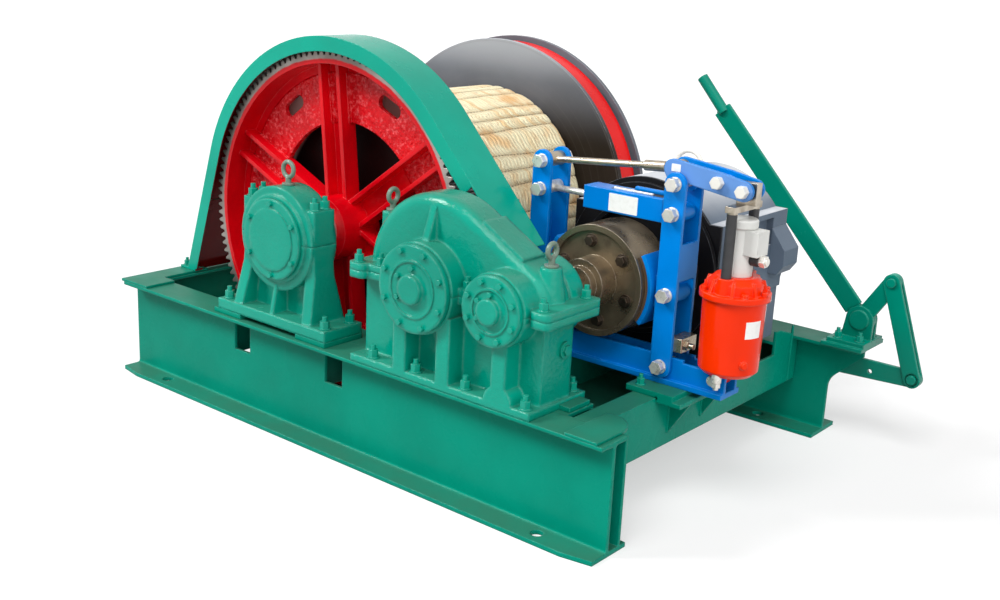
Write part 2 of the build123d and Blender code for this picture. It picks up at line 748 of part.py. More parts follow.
def brake_bracket():
    """Seat of the shoe brake on the right cross channel, with a gusseted cantilever"""
    shelf = block((RIGHT_CROSS_X, RIGHT_CROSS_X + BRACKET_REACH), BRACKET_Y, (DECK - BED_PLATE, DECK))
    spacer = block(BRACKET_X, BRACKET_Y, (DECK, BRAKE_SEAT))
    shape = shelf + spacer
    under = DECK - BED_PLATE
    for y in BRACKET_GUSSETS:
        rib = outline((RIGHT_CROSS_X, under), (RIGHT_CROSS_X + 0.9 * BRACKET_REACH, under),
                      (RIGHT_CROSS_X, under - BRACKET_GUSSET_DROP))
        shape += slab_y(rib, about(y, PLATE))
    left_seat = block(about(LEFT_ARM_X, ARM_WIDTH), about(BRAKE_Y, BASE_WIDTH), (DECK, BRAKE_SEAT))
    return group([shape, left_seat])


# Drum shaft pedestals

def housing_bores(y):
    """Bearing seat and shaft openings of a pedestal"""
    shaft = rod_y(DRUM_X, DRUM_Z, DRUM_SHAFT_R + OPEN_FIT, about(y, 2 * HOUSING_DEPTH))
    return shaft + rod_y(DRUM_X, DRUM_Z, DRUM_BEARING_R, about(y, DRUM_BEARING_WIDTH))


def housing(y):
    """Round bearing housing with its end rings, split later at the shaft's height"""
    barrel = rod_y(DRUM_X, DRUM_Z, HOUSING_R, about(y, HOUSING_DEPTH))
    return barrel + rod_y(DRUM_X, DRUM_Z, HOUSING_RING_R, about(y, HOUSING_DEPTH + 2 * HOUSING_RING))


def half_space(y, z):
    """Block that keeps what lies between two heights"""
    return block(about(DRUM_X, 2 * PEDESTAL_LENGTH), about(y, 4 * HOUSING_DEPTH), z)


def pedestal(y, width):
    """Lower pedestal casting: foot plate, two spread legs, thin wall and three sloping ribs"""
    foot = block(about(DRUM_X, PEDESTAL_LENGTH), about(y, width), (PEDESTAL_Z, PEDESTAL_TOP))
    waist = DRUM_Z - WAIST_DROP
    legs = outline((DRUM_X - CAP_HALF_WIDTH, DRUM_Z), (DRUM_X - CAP_HALF_WIDTH, waist),
                   (DRUM_X - LEG_SPREAD, PEDESTAL_TOP), (DRUM_X + LEG_SPREAD, PEDESTAL_TOP),
                   (DRUM_X + CAP_HALF_WIDTH, waist), (DRUM_X + CAP_HALF_WIDTH, DRUM_Z))
    neck = CAP_HALF_WIDTH - LEG_THICK
    base = LEG_SPREAD - LEG_THICK
    pocket = outline((DRUM_X - neck, waist), (DRUM_X - base, PEDESTAL_TOP),
                     (DRUM_X + base, PEDESTAL_TOP), (DRUM_X + neck, waist))
    top = DRUM_Z - 0.6 * HOUSING_R
    half = COLUMN_DEPTH / 2
    spread = width / 2 - LEG_RIB / 2
    side = outline((y - spread, PEDESTAL_TOP), (y + spread, PEDESTAL_TOP), (y + half, top),
                   (y + half, DRUM_Z), (y - half, DRUM_Z), (y - half, top))
    flare = slab_x(side, about(DRUM_X, PEDESTAL_LENGTH))
    body = (slab_y(legs, about(y, width)) - slab_y(pocket, about(y, width))) & flare
    body += slab_y(pocket, about(y, LEG_WALL))
    body += housing(y) & half_space(y, (PEDESTAL_TOP, DRUM_Z))
    for lean in (-1, 0, 1):
        foot_x = DRUM_X + lean * base
        head_x = DRUM_X + lean * neck
        rib = outline((foot_x - LEG_RIB / 2, PEDESTAL_TOP), (foot_x + LEG_RIB / 2, PEDESTAL_TOP),
                      (head_x + LEG_RIB / 2, top), (head_x - LEG_RIB / 2, top))
        body += slab_y(rib, about(y, width)) & flare
    return foot + body - housing_bores(y)


def pedestal_cap(y):
    """Upper half of the housing with a bolt ledge each side"""
    ledge = block(about(DRUM_X, 2 * CAP_HALF_WIDTH), about(y, COLUMN_DEPTH), (DRUM_Z, DRUM_Z + CAP_LEDGE))
    dome = housing(y) & half_space(y, (DRUM_Z, DRUM_Z + 2 * HOUSING_R))
    return ledge + dome - housing_bores(y)


def bearing_covers():
    """Closed covers outside and open ones inside, on both pedestals"""
    covers = []
    for y, out in ((PEDESTAL_FRONT_Y, -1), (PEDESTAL_REAR_Y, 1)):
        seat = y + out * (HOUSING_DEPTH / 2 + HOUSING_RING)
        face = seat + out * COVER_PLATE
        plateau = face + out * COVER_FACE
        covers.append(turned_y(DRUM_X, DRUM_Z, (0, seat), (COVER_R, seat), (COVER_R, face),
                               (COVER_FACE_R, face), (COVER_FACE_R, plateau), (0, plateau)))
        inside = y - out * (HOUSING_DEPTH / 2 + HOUSING_RING)
        covers.append(ring_y(DRUM_X, DRUM_Z, COVER_FACE_R + COVER_PLATE, DRUM_SHAFT_R + OPEN_FIT,
                             sorted((inside, inside - out * COVER_PLATE))))
    return group(covers)


def bearings():
    """Bearing rings of the drum shaft and of the gearbox shafts"""
    journal = DRUM_JOURNAL_R + RUNNING_FIT
    rings = [ring_y(DRUM_X, DRUM_Z, DRUM_BEARING_R, journal, about(y, DRUM_BEARING_WIDTH))
             for y in (PEDESTAL_FRONT_Y, PEDESTAL_REAR_Y)]
    for x, outer, inner in ((OUTPUT_X, OUTPUT_BEARING_R, OUTPUT_R), (INPUT_X, INPUT_BEARING_R, INPUT_R)):
        for y in ((BOSS_FRONT, BOSS_FRONT + BOX_BEARING), (BOSS_BACK - BOX_BEARING, BOSS_BACK)):
            rings.append(ring_y(x, SHAFT_Z, outer, inner + RUNNING_FIT, y))
    return group(rings)


def pedestal_bolts():
    bolts = []
    for y, offset in ((PEDESTAL_FRONT_Y, FOOT_BOLT_Y), (PEDESTAL_REAR_Y, FOOT_BOLT_Y_REAR)):
        for x in mirror_pair(DRUM_X, FOOT_BOLT_X):
            bolts += [nut_z(x, place, PEDESTAL_TOP) for place in mirror_pair(y, offset)]
        for x in mirror_pair(DRUM_X, CAP_BOLT_X):
            bolts += [nut_z(x, place, DRUM_Z + CAP_LEDGE) for place in mirror_pair(y, CAP_BOLT_Y)]
    return group(bolts)


def cover_bolts():
    """Screw heads of the bearing covers and the gearbox caps"""
    front = PEDESTAL_FRONT_Y - HOUSING_DEPTH / 2 - HOUSING_RING - COVER_PLATE
    rear = PEDESTAL_REAR_Y + HOUSING_DEPTH / 2 + HOUSING_RING + COVER_PLATE
    heads = [head_y(x, z, front) for x, z in around(6, COVER_BOLT_R, 90, DRUM_X, DRUM_Z)]
    heads += [head_y(x, z, rear, side=1) for x, z in around(6, COVER_BOLT_R, 90, DRUM_X, DRUM_Z)]
    for centre, radius in ((OUTPUT_X, LARGE_CAP_R), (INPUT_X, SMALL_CAP_R)):
        screws = around(CAP_SCREWS, radius - SCREW, CAP_SCREW_ANGLE, centre, SHAFT_Z)
        heads += [head_y(x, z, CAP_FRONT) for x, z in screws]
        plugs = around(2 * CAP_PLUGS, CAP_PLUG_PLACE * radius, 90, centre, SHAFT_Z)
        heads += [head_y(x, z, CAP_FRONT, CAP_PLUG) for x, z in plugs[:CAP_PLUGS]]
    return group(heads)


def lifting_eyes():
    """Eye bolts of the pedestals and the gearbox, and the bail on the motor"""
    top = DRUM_Z + HOUSING_R
    eyes = [eye_bolt(DRUM_X, y, top, PEDESTAL_EYE_R) for y in (PEDESTAL_FRONT_Y, PEDESTAL_REAR_Y)]
    eyes.append(eye_bolt(LEFT_EYE_X, BOX_Y, LEFT_EYE_TOP, turn=90))
    eyes.append(eye_bolt(RIGHT_EYE_X, BOX_Y, RIGHT_EYE_TOP, turn=90))
    y = MOTOR_FRONT + 0.55 * (MOTOR_BACK - MOTOR_FRONT)
    bail = Rot(90, 0, 0) * Torus(MOTOR_BAIL_R - EYE_WIRE_R, EYE_WIRE_R)
    bail = Pos(INPUT_X, y, SHAFT_Z + MOTOR_R + MOTOR_BAIL_RISE) * bail
    eyes.append(bail - rod_y(INPUT_X, SHAFT_Z, MOTOR_R, (MOTOR_FRONT, MOTOR_BACK)))
    return group(eyes)


# Drum

def drum_shaft():
    front = PEDESTAL_FRONT_Y - HOUSING_DEPTH / 2 - OPEN_FIT
    rear = PEDESTAL_REAR_Y + HOUSING_DEPTH / 2 + OPEN_FIT
    step_front = PEDESTAL_FRONT_Y + DRUM_BEARING_WIDTH / 2 + OPEN_FIT
    step_rear = PEDESTAL_REAR_Y - DRUM_BEARING_WIDTH / 2 - OPEN_FIT
    return turned_y(DRUM_X, DRUM_Z, (0, front), (DRUM_JOURNAL_R, front), (DRUM_JOURNAL_R, step_front),
                    (DRUM_SHAFT_R, step_front), (DRUM_SHAFT_R, step_rear), (DRUM_JOURNAL_R, step_rear),
                    (DRUM_JOURNAL_R, rear), (0, rear))


def drum_barrel():
    """Barrel with the flange at the bull gear's side"""
    inner = BARREL_R - BARREL_WALL
    return turned_y(DRUM_X, DRUM_Z, (DRUM_SHAFT_R, NEAR_FLANGE_Y), (NEAR_FLANGE_R, NEAR_FLANGE_Y),
                    (NEAR_FLANGE_R, DRUM_FRONT), (BARREL_R, DRUM_FRONT), (BARREL_R, DRUM_BACK),
                    (inner, DRUM_BACK), (inner, DRUM_FRONT), (DRUM_SHAFT_R, DRUM_FRONT))


def brake_flange():
    """Far flange with the brake rim and its outer plate"""
    inner = BRAKE_RIM_R - BRAKE_RIM_WALL
    return turned_y(DRUM_X, DRUM_Z, (DRUM_SHAFT_R, DRUM_BACK), (FAR_FLANGE_R, DRUM_BACK),
                    (FAR_FLANGE_R, FAR_FLANGE_BACK), (BRAKE_RIM_R, FAR_FLANGE_BACK),
                    (BRAKE_RIM_R, BRAKE_RIM_END), (RIM_PLATE_R, BRAKE_RIM_END), (RIM_PLATE_R, RIM_PLATE_BACK),
                    (RIM_PLATE_BORE, RIM_PLATE_BACK), (RIM_PLATE_BORE, BRAKE_RIM_END), (inner, BRAKE_RIM_END),
                    (inner, FAR_FLANGE_BACK), (DRUM_SHAFT_R, FAR_FLANGE_BACK))


def straw_wrap():
    """Matting laid round the barrel in bands along it, each band swelling between two bindings"""
    valley = WRAP_R - WRAP_GROOVE
    places = around(2 * WRAP_BANDS, 1, 0, 0, 0)
    arcs = []
    for band in range(WRAP_BANDS):
        start, crown, end = (places[(2 * band + k) % (2 * WRAP_BANDS)] for k in range(3))
        swell = ((valley, start), (WRAP_R, crown), (valley, end))
        arcs.append(ThreePointArc(*[(radius * x, radius * z) for radius, (x, z) in swell]))
    ring = make_face(arcs) - Circle(BARREL_R)
    return slab_y(Pos(DRUM_X, DRUM_Z) * ring, (DRUM_FRONT, DRUM_BACK))


def bull_gear():
    """Cast spur gear: toothed rim, web ring with obround holes, six H-section arms and a long hub"""
    teeth = gear_outline(OPEN_MODULE, BULL_TEETH, OPEN_ANGLE + 180 / BULL_TEETH)
    rim = slab_y(Pos(DRUM_X, DRUM_Z) * (teeth - Circle(BULL_RIM_R)), (BULL_FRONT, BULL_BACK))
    web_y = (BULL_WEB_FRONT, BULL_WEB_FRONT + BULL_WEB)
    spider = ring_y(0, 0, BULL_RIM_R + BULL_WEB / 4, BULL_WEB_R, web_y)
    holes = [Rot(0, -BULL_ARM_ANGLE - (k + 0.5) * 360 / BULL_ARMS, 0) * slab_y(
        Pos(BULL_HOLE_R, 0) * Rot(0, 0, 90) * SlotOverall(BULL_HOLE_LENGTH, BULL_HOLE_WIDTH), web_y)
        for k in range(BULL_ARMS)]
    spider -= holes
    span = (0.8 * BULL_HUB_R, BULL_RIM_R + BULL_WEB / 4)
    arm = block(span, web_y, about(0, BULL_ARM_WIDTH))
    for side in (-1, 1):
        middle = side * (BULL_ARM_WIDTH - BULL_ARM_RIB) / 2
        arm += block(span, (BULL_FRONT + BULL_ARM_DEPTH, web_y[1]), about(middle, BULL_ARM_RIB))
    for k in range(BULL_ARMS):
        spider += Rot(0, -BULL_ARM_ANGLE - k * 360 / BULL_ARMS, 0) * arm
    hub_y = (BULL_HUB_FRONT, BULL_HUB_BACK)
    spider += rod_y(0, 0, BULL_HUB_R, hub_y)
    spider -= rod_y(0, 0, DRUM_SHAFT_R, hub_y)
    return rim + Pos(DRUM_X, 0, DRUM_Z) * spider


def guard_points(radius, right_length):
    """Guard's path at a radius: left foot, tangent point, crown, tangent point, right tip"""
    left = radians(GUARD_LEFT_ANGLE)
    right = radians(GUARD_RIGHT_ANGLE)
    start = (DRUM_X + radius * cos(left), DRUM_Z + radius * sin(left))
    end = (DRUM_X + radius * cos(right), DRUM_Z + radius * sin(right))
    drop = (GUARD_FOOT_Z - start[1]) / cos(left)
    foot = (start[0] - drop * sin(left), GUARD_FOOT_Z)
    tip = (end[0] + right_length * sin(right), end[1] - right_length * cos(right))
    return foot, start, (DRUM_X, DRUM_Z + radius), end, tip


def guard_band(outer, inner, right_length):
    """Band that follows the guard: left leg to the deck, round the gear, then straight down to the right"""
    out = guard_points(outer, right_length)
    inn = guard_points(inner, right_length)
    outside = [Line(out[0], out[1]), ThreePointArc(*out[1:4]), Line(out[3], out[4])]
    inside = [Line(inn[4], inn[3]), ThreePointArc(*inn[3:0:-1]), Line(inn[1], inn[0])]
    return make_face(outside + [Line(out[4], inn[4])] + inside + [Line(inn[0], out[0])])


def gear_guard():
    """Rolled sheet with a front lip, a lug on the left corner plate and a post on the middle channel"""
    sheet = guard_band(GUARD_R, GUARD_R - GUARD_SHEET, GUARD_RIGHT_LENGTH)
    lip = guard_band(GUARD_R, GUARD_R - GUARD_LIP, GUARD_LIP_LENGTH)
    guard = slab_y(sheet, (GUARD_FRONT, GUARD_BACK)) + slab_y(lip, (GUARD_FRONT, GUARD_FRONT + GUARD_SHEET))
    foot_x = guard_points(GUARD_R, 0)[0][0]
    guard += block(about(foot_x, GUARD_LUG_X), (GUARD_FRONT, GUARD_FRONT + GUARD_LUG_Y),
                   (GUARD_FOOT_Z - PLATE, GUARD_FOOT_Z))
    right = radians(GUARD_RIGHT_ANGLE)
    run = (GUARD_POST_X - DRUM_X - GUARD_R * cos(right)) / sin(right)
    post_top = DRUM_Z + GUARD_R * sin(right) - run * cos(right) - 0.6 * GUARD_POST_WIDTH
    post = block(about(GUARD_POST_X, GUARD_POST_WIDTH), (GUARD_BACK, GUARD_BACK + PLATE), (DECK, post_top))
    return guard + post


# Gearbox

def split_outline():
    """Plan of the gearbox's split flange, drawn in X and Y"""
    middle = block_outline((SPLIT_LEFT, SPLIT_RIGHT), about(BOX_Y, SPLIT_WIDTH))
    left = block_outline((SPLIT_LEFT, SPLIT_LEFT + SPLIT_EAR), about(BOX_Y, SPLIT_EAR_WIDTH))
    right = block_outline((SPLIT_RIGHT - SPLIT_EAR, SPLIT_RIGHT), about(BOX_Y, SPLIT_EAR_WIDTH))
    plan = middle + left + right
    corners = [v for v in plan.vertices() if abs(abs(v.Y - BOX_Y) - SPLIT_EAR_WIDTH / 2) < 1e-6]
    return fillet(corners, 0.3 * SPLIT_EAR)


def box_bosses(z):
    """Bearing bosses of both shafts between two heights, outside the gear chamber"""
    bosses = []
    front = (BOSS_FRONT, BOX_FRONT + BOX_WALL)
    back = (BOX_BACK - BOX_WALL, BOSS_BACK)
    large = LARGE_CAP_R + BOSS_MARGIN
    for x, radius, y in ((OUTPUT_X, large, front), (OUTPUT_X, large, back),
                         (INPUT_X, SMALL_CAP_R + BOSS_MARGIN, front),
                         (INPUT_X, SMALL_CAP_R + INPUT_BACK_MARGIN, back)):
        bosses.append(rod_y(x, SHAFT_Z, radius, y) & block(about(x, 3 * radius), y, z))
    return bosses


def box_bores():
    """Bearing bores of both shafts"""
    span = (BOSS_FRONT - 1, BOSS_BACK + 1)
    return [rod_y(OUTPUT_X, SHAFT_Z, OUTPUT_BEARING_R, span), rod_y(INPUT_X, SHAFT_Z, INPUT_BEARING_R, span)]


def gearbox_base():
    inside = (BOX_LEFT + BOX_WALL, BOX_RIGHT - BOX_WALL)
    base = block((BOX_FOOT_LEFT, BOX_FOOT_RIGHT), about(BOX_Y, BOX_FOOT_WIDTH), (DECK, BOX_FOOT_TOP))
    base += block((BOX_LEFT, BOX_RIGHT), (BOX_FRONT, BOX_BACK), (BOX_FOOT_TOP, SHAFT_Z))
    base += slab_z(split_outline(), (SPLIT_BOTTOM, SHAFT_Z))
    step = INPUT_X + SMALL_CAP_RIB
    ribs = [(OUTPUT_X + offset, LARGE_CAP_R) for offset in LARGE_CAP_RIBS] + [(step, SMALL_CAP_R)]
    for x, drop in ribs:
        for y in ((BOX_FOOT_FRONT, BOX_FRONT), (BOX_BACK, BOSS_BACK)):
            base += block(about(x, BOX_RIB_WIDTH), y, (BOX_FOOT_TOP, SHAFT_Z - drop / 2))
    hump = disc_at(step, BOX_FOOT_TOP, BOX_HUMP_R)
    hump &= block_outline(about(step, 3 * BOX_HUMP_R), (BOX_FOOT_TOP, SHAFT_Z))
    base += slab_y(hump, (BOX_FOOT_FRONT, BOX_FRONT))
    for boss in box_bosses((SHAFT_Z - LARGE_CAP_R - BOSS_MARGIN, SHAFT_Z)):
        base += boss
    base -= block(inside, (BOX_FRONT + BOX_WALL, BOX_BACK - BOX_WALL), (BOX_FOOT_TOP, SHAFT_Z))
    return base - box_bores()


def dome_outline(inset):
    """Side view of the cover round both gears, drawn in X and Z"""
    hull = strap((OUTPUT_X, SHAFT_Z), (INPUT_X, SHAFT_Z), DOME_LARGE_R - inset, DOME_SMALL_R - inset)
    width = 4 * DOME_LARGE_R
    return hull & (Pos((OUTPUT_X + INPUT_X) / 2, SHAFT_Z + width / 2) * Rectangle(width, width))


def dome(inset):
    """Rounded dome, drawn in by an inset"""
    body = slab_y(dome_outline(inset), (BOX_FRONT + inset, BOX_BACK - inset))
    rounds = [edge for edge in body.edges() if edge.center().Z > SHAFT_Z and abs(edge.center().Y - BOX_Y) > 1]
    return fillet(rounds, DOME_EDGE - inset)


def inspection_plate():
    """Raised plate on the dome's slope"""
    length, width, height = INSPECTION_PLATE
    slope = asin((DOME_LARGE_R - DOME_SMALL_R) / (INPUT_X - OUTPUT_X))
    plate = Pos(INSPECTION_PLACE, 0, DOME_LARGE_R) * Box(length, width, 2 * height)
    return Pos(OUTPUT_X, BOX_Y, SHAFT_Z) * Rot(0, degrees(slope), 0) * plate


def gearbox_cover():
    cover = dome(0) + inspection_plate()
    cover += slab_z(split_outline(), (SHAFT_Z, SPLIT_TOP))
    for boss in box_bosses((SHAFT_Z, SHAFT_Z + LARGE_CAP_R + BOSS_MARGIN)):
        cover += boss
    crest = SHAFT_Z + LARGE_CAP_R
    rib = outline((BOSS_FRONT + BOX_CAP, crest - BOX_CAP), (BOX_FRONT, crest - BOX_CAP),
                  (BOX_FRONT, crest + 0.8 * LARGE_CAP_R))
    cover += slab_x(rib, about(OUTPUT_X, BOX_RIB_WIDTH / 2))
    cover += turned_z(RIGHT_EYE_X, BOX_Y, (0, SPLIT_TOP), (EYE_BOSS_FOOT_R, SPLIT_TOP),
                      (EYE_BOSS_R, RIGHT_EYE_TOP), (0, RIGHT_EYE_TOP))
    cover += block(about(LEFT_EYE_X, EYE_BOSS_R), about(BOX_Y, 2 * EYE_BOSS_R), (SPLIT_TOP, LEFT_EYE_TOP))
    cover -= dome(BOX_WALL)
    return cover - box_bores()


def gearbox_caps():
    """Closed front caps with a centre boss, and back caps, the output and input shafts passing through"""
    caps = []
    for x, radius, boss, shaft in ((OUTPUT_X, LARGE_CAP_R, LARGE_CAP_BOSS_R, OUTPUT_R),
                                   (INPUT_X, SMALL_CAP_R, SMALL_CAP_BOSS_R, INPUT_R)):
        ring = 0.66 * radius
        ring_inside = ring - 2 * CAP_RING
        face = CAP_FRONT - CAP_RING
        nose = CAP_FRONT - CAP_BOSS
        caps.append(turned_y(x, SHAFT_Z, (0, BOSS_FRONT), (radius, BOSS_FRONT), (radius, CAP_FRONT),
                             (ring, CAP_FRONT), (ring, face), (ring_inside, face), (ring_inside, CAP_FRONT),
                             (boss, CAP_FRONT), (boss, nose), (0, nose)))
        caps.append(ring_y(x, SHAFT_Z, radius, shaft + OPEN_FIT, (BOSS_BACK, CAP_BACK)))
    return group(caps)


def gearbox_bolts():
    """Split bolts, foot bolts and the drain plug"""
    bolts = [nut_z(x, y, SPLIT_TOP, 0.9 * BOLT)
             for x, offset in SPLIT_BOLTS for y in mirror_pair(BOX_Y, offset)]
    inset = BOX_FOOT_WIDTH / 2 - BOX_BOLT_INSET
    for x in BOX_FOOT_BOLTS:
        bolts += [nut_z(x, y, BOX_FOOT_TOP) for y in mirror_pair(BOX_Y, inset)]
    plug = rod_x(DRAIN_Y, DRAIN_Z, 0.9 * BOLT, (BOX_RIGHT, BOX_RIGHT + 0.3 * BOLT))
    plug += slab_x(Pos(DRAIN_Y, DRAIN_Z) * RegularPolygon(0.6 * BOLT, 6), (BOX_RIGHT, BOX_RIGHT + 0.6 * BOLT))
    return group(bolts + [plug])


def output_shaft():
    return rod_y(OUTPUT_X, SHAFT_Z, OUTPUT_R, (BOSS_FRONT + OPEN_FIT, BULL_BACK + OPEN_FIT))


def large_gear():
    """Gear on the output shaft, with its web turned thinner"""
    face = about(BOX_Y, GEAR_FACE)
    teeth = gear_outline(GEAR_MODULE, GEAR_TEETH, 180 / GEAR_TEETH)
    gear = slab_y(Pos(OUTPUT_X, SHAFT_Z) * teeth, face)
    rim = GEAR_MODULE * GEAR_TEETH / 2 - 6 * GEAR_MODULE
    for y in ((face[0], BOX_Y - GEAR_FACE / 6), (BOX_Y + GEAR_FACE / 6, face[1])):
        gear -= ring_y(OUTPUT_X, SHAFT_Z, rim, 1.8 * OUTPUT_R, y)
    return gear - rod_y(OUTPUT_X, SHAFT_Z, OUTPUT_R, face)


def open_pinion():
    """Pinion that drives the bull gear"""
    face = (BULL_FRONT - OPEN_FIT, BULL_BACK + OPEN_FIT)
    teeth = gear_outline(OPEN_MODULE, OPEN_PINION_TEETH, OPEN_ANGLE + 180)
    return slab_y(Pos(OUTPUT_X, SHAFT_Z) * (teeth - Circle(OUTPUT_R)), face)


def input_shaft():
    """Shaft with the input pinion cut on it"""
    face = about(BOX_Y, GEAR_FACE + 2 * OPEN_FIT)
    teeth = gear_outline(GEAR_MODULE, PINION_TEETH, 180)
    shaft = rod_y(INPUT_X, SHAFT_Z, INPUT_R, (BOSS_FRONT + OPEN_FIT, WHEEL_FRONT + WHEEL_RECESS + WHEEL_WEB))
    return shaft + slab_y(Pos(INPUT_X, SHAFT_Z) * teeth, face)


# Brake wheel, coupling and motor

def brake_wheel():
    """Brake wheel with a recessed face, a stepped hub and pin holes"""
    inner = WHEEL_R - WHEEL_RIM
    face = WHEEL_FRONT + WHEEL_RECESS
    back = face + WHEEL_WEB
    wheel = turned_y(INPUT_X, SHAFT_Z, (INPUT_R, WHEEL_NOSE_FRONT), (WHEEL_NOSE_R, WHEEL_NOSE_FRONT),
                     (WHEEL_NOSE_R, WHEEL_HUB_FRONT), (WHEEL_HUB_R, WHEEL_HUB_FRONT), (WHEEL_HUB_R, face),
                     (inner, face), (inner, WHEEL_FRONT), (WHEEL_R, WHEEL_FRONT), (WHEEL_R, WHEEL_BACK),
                     (inner, WHEEL_BACK), (inner, back), (INPUT_R, back))
    return wheel - [rod_y(x, z, WHEEL_PIN_R, (face, back)) for x, z in wheel_pins()]


def wheel_pins():
    return around(WHEEL_PINS, WHEEL_PIN_CIRCLE, WHEEL_PIN_ANGLE, INPUT_X, SHAFT_Z)


def coupling_half():
    """Coupling half on the motor shaft, with the pins that reach into the brake wheel"""
    face = WHEEL_FRONT + WHEEL_RECESS
    hub = face + WHEEL_WEB + COUPLING_GAP
    inner = WHEEL_R - WHEEL_RIM - COUPLING_GAP
    half = turned_y(INPUT_X, SHAFT_Z, (MOTOR_SHAFT_R, hub), (inner, hub), (inner, hub + COUPLING_WIDTH),
                    (2 * MOTOR_SHAFT_R, hub + COUPLING_WIDTH), (2 * MOTOR_SHAFT_R, COUPLING_BACK),
                    (MOTOR_SHAFT_R, COUPLING_BACK))
    parts = [half - [rod_y(x, z, WHEEL_PIN_R, (hub, hub + COUPLING_WIDTH)) for x, z in wheel_pins()]]
    for x, z in wheel_pins():
        pin = rod_y(x, z, WHEEL_PIN_R, (face, hub + COUPLING_WIDTH))
        pin += head_y(x, z, face, 2 * WHEEL_PIN_R)
        parts.append(pin + rod_y(x, z, 1.5 * WHEEL_PIN_R, (face - WASHER, face)))
    return group(parts)


def motor_housing():
    """Housing with a round top and a boxed lower half, a pocket under each shoulder and four feet"""
    housing_y = (MOTOR_FRONT, MOTOR_BACK)
    shoulder = SHAFT_Z + MOTOR_SHOULDER
    width = about(INPUT_X, 2 * MOTOR_SIDE)
    profile = disc_at(INPUT_X, SHAFT_Z, MOTOR_R) & block_outline(width, about(SHAFT_Z, 2 * MOTOR_R))
    profile += block_outline(width, (SHAFT_Z - MOTOR_BOX_DROP, shoulder))
    shell = slab_y(profile, housing_y)
    depth, length, height = MOTOR_RECESS
    for out in (-1, 1):
        side = INPUT_X + out * MOTOR_SIDE
        top = shoulder - MOTOR_LIP
        shell -= block(sorted((side - out * depth, side + out * MOTOR_R)), about(MOTOR_RECESS_Y, length),
                       (top - height, top))
        shell -= block(sorted((side - out * MOTOR_LIP / 2, side + out * MOTOR_R)), housing_y,
                       (SHAFT_Z - MOTOR_BOX_DROP, SHAFT_Z - MOTOR_SHOULDER / 2))
    for x in mirror_pair(INPUT_X, MOTOR_FOOT_X):
        for y in MOTOR_FOOT_Y:
            shell += block(about(x, MOTOR_FOOT_WIDTH), about(y, MOTOR_FOOT_LENGTH),
                           (DECK, SHAFT_Z - 0.6 * MOTOR_R))
    bore = MOTOR_SIDE - depth - MOTOR_WALL
    return shell - rod_y(INPUT_X, SHAFT_Z, bore, housing_y)


def motor_end_shields():
    """Ringed shield at the drive end and a plain one at the far end"""
    nose = MOTOR_SHIELD_NOSE_R
    bore = MOTOR_SHAFT_R + OPEN_FIT
    dish = MOTOR_FRONT - MOTOR_WALL
    step = dish - MOTOR_WALL
    ring = MOTOR_SHIELD_RING_R
    front = turned_y(INPUT_X, SHAFT_Z, (bore, MOTOR_SHIELD_FRONT), (nose, MOTOR_SHIELD_FRONT), (nose, dish),
                     (ring - MOTOR_WALL, dish), (ring - MOTOR_WALL, step), (ring, step), (ring, dish),
                     (MOTOR_SHIELD_R, dish), (MOTOR_SHIELD_R, MOTOR_FRONT), (bore, MOTOR_FRONT))
    rear = turned_y(INPUT_X, SHAFT_Z, (bore, MOTOR_BACK), (MOTOR_SIDE, MOTOR_BACK),
                    (MOTOR_SIDE, MOTOR_BACK + MOTOR_WALL), (0.8 * MOTOR_SIDE, MOTOR_BACK + 3 * MOTOR_WALL),
                    (bore, MOTOR_BACK + 3 * MOTOR_WALL))
    return group([front, rear])


def motor_terminal_box():
    """Box on the motor's right side, its top and foot sloping inwards"""
    depth, length, height = TERMINAL_BOX
    side = INPUT_X + MOTOR_SIDE
    reach = side + depth
    low, high = about(TERMINAL_BOX_Z, height)
    profile = outline((side, low), (side + 0.6 * depth, low), (reach, low + 0.2 * height),
                      (reach, high - 0.45 * height), (side, high))
    return slab_y(profile, about(TERMINAL_BOX_Y, length))


def motor_rotor():
    """Rotor core on the motor shaft"""
    hub = WHEEL_FRONT + WHEEL_RECESS + WHEEL_WEB + COUPLING_GAP
    end = MOTOR_BACK + 2 * MOTOR_WALL
    front, back = ROTOR_Y
    return turned_y(INPUT_X, SHAFT_Z, (0, hub), (MOTOR_SHAFT_R, hub), (MOTOR_SHAFT_R, front),
                    (ROTOR_R, front), (ROTOR_R, back), (MOTOR_SHAFT_R, back), (MOTOR_SHAFT_R, end), (0, end))


# Thruster-released shoe brake

def brake_base():
    """Foot plate with two cheeks that carry the arms and the thruster"""
    plate = block((BASE_LEFT, BASE_RIGHT), about(BRAKE_Y, BASE_WIDTH), (BRAKE_SEAT, BASE_TOP))
    for y in mirror_pair(BRAKE_Y, (BASE_CHEEK_GAP + BASE_CHEEK) / 2):
        plate += block((BASE_LEFT, RIGHT_ARM_X + ARM_WIDTH), about(y, BASE_CHEEK), (BASE_TOP, BASE_CHEEK_TOP))
        plate += block((RIGHT_ARM_X, BASE_RIGHT), about(y, BASE_CHEEK), (BASE_TOP, THRUSTER_Z - OPEN_FIT))
    span = about(BRAKE_Y, BASE_WIDTH)
    pins = [(LEFT_ARM_X, BRAKE_PIVOT_Z), (RIGHT_ARM_X, BRAKE_PIVOT_Z), THRUSTER_PIN]
    return plate - [rod_y(x, z, PIN_R, span) for x, z in pins]


def arm_plate_places():
    """Limits along Y of the front and back plates of a brake arm"""
    inner = ARM_GAP / 2
    return (BRAKE_Y - inner - ARM_PLATE, BRAKE_Y - inner), (BRAKE_Y + inner, BRAKE_Y + inner + ARM_PLATE)


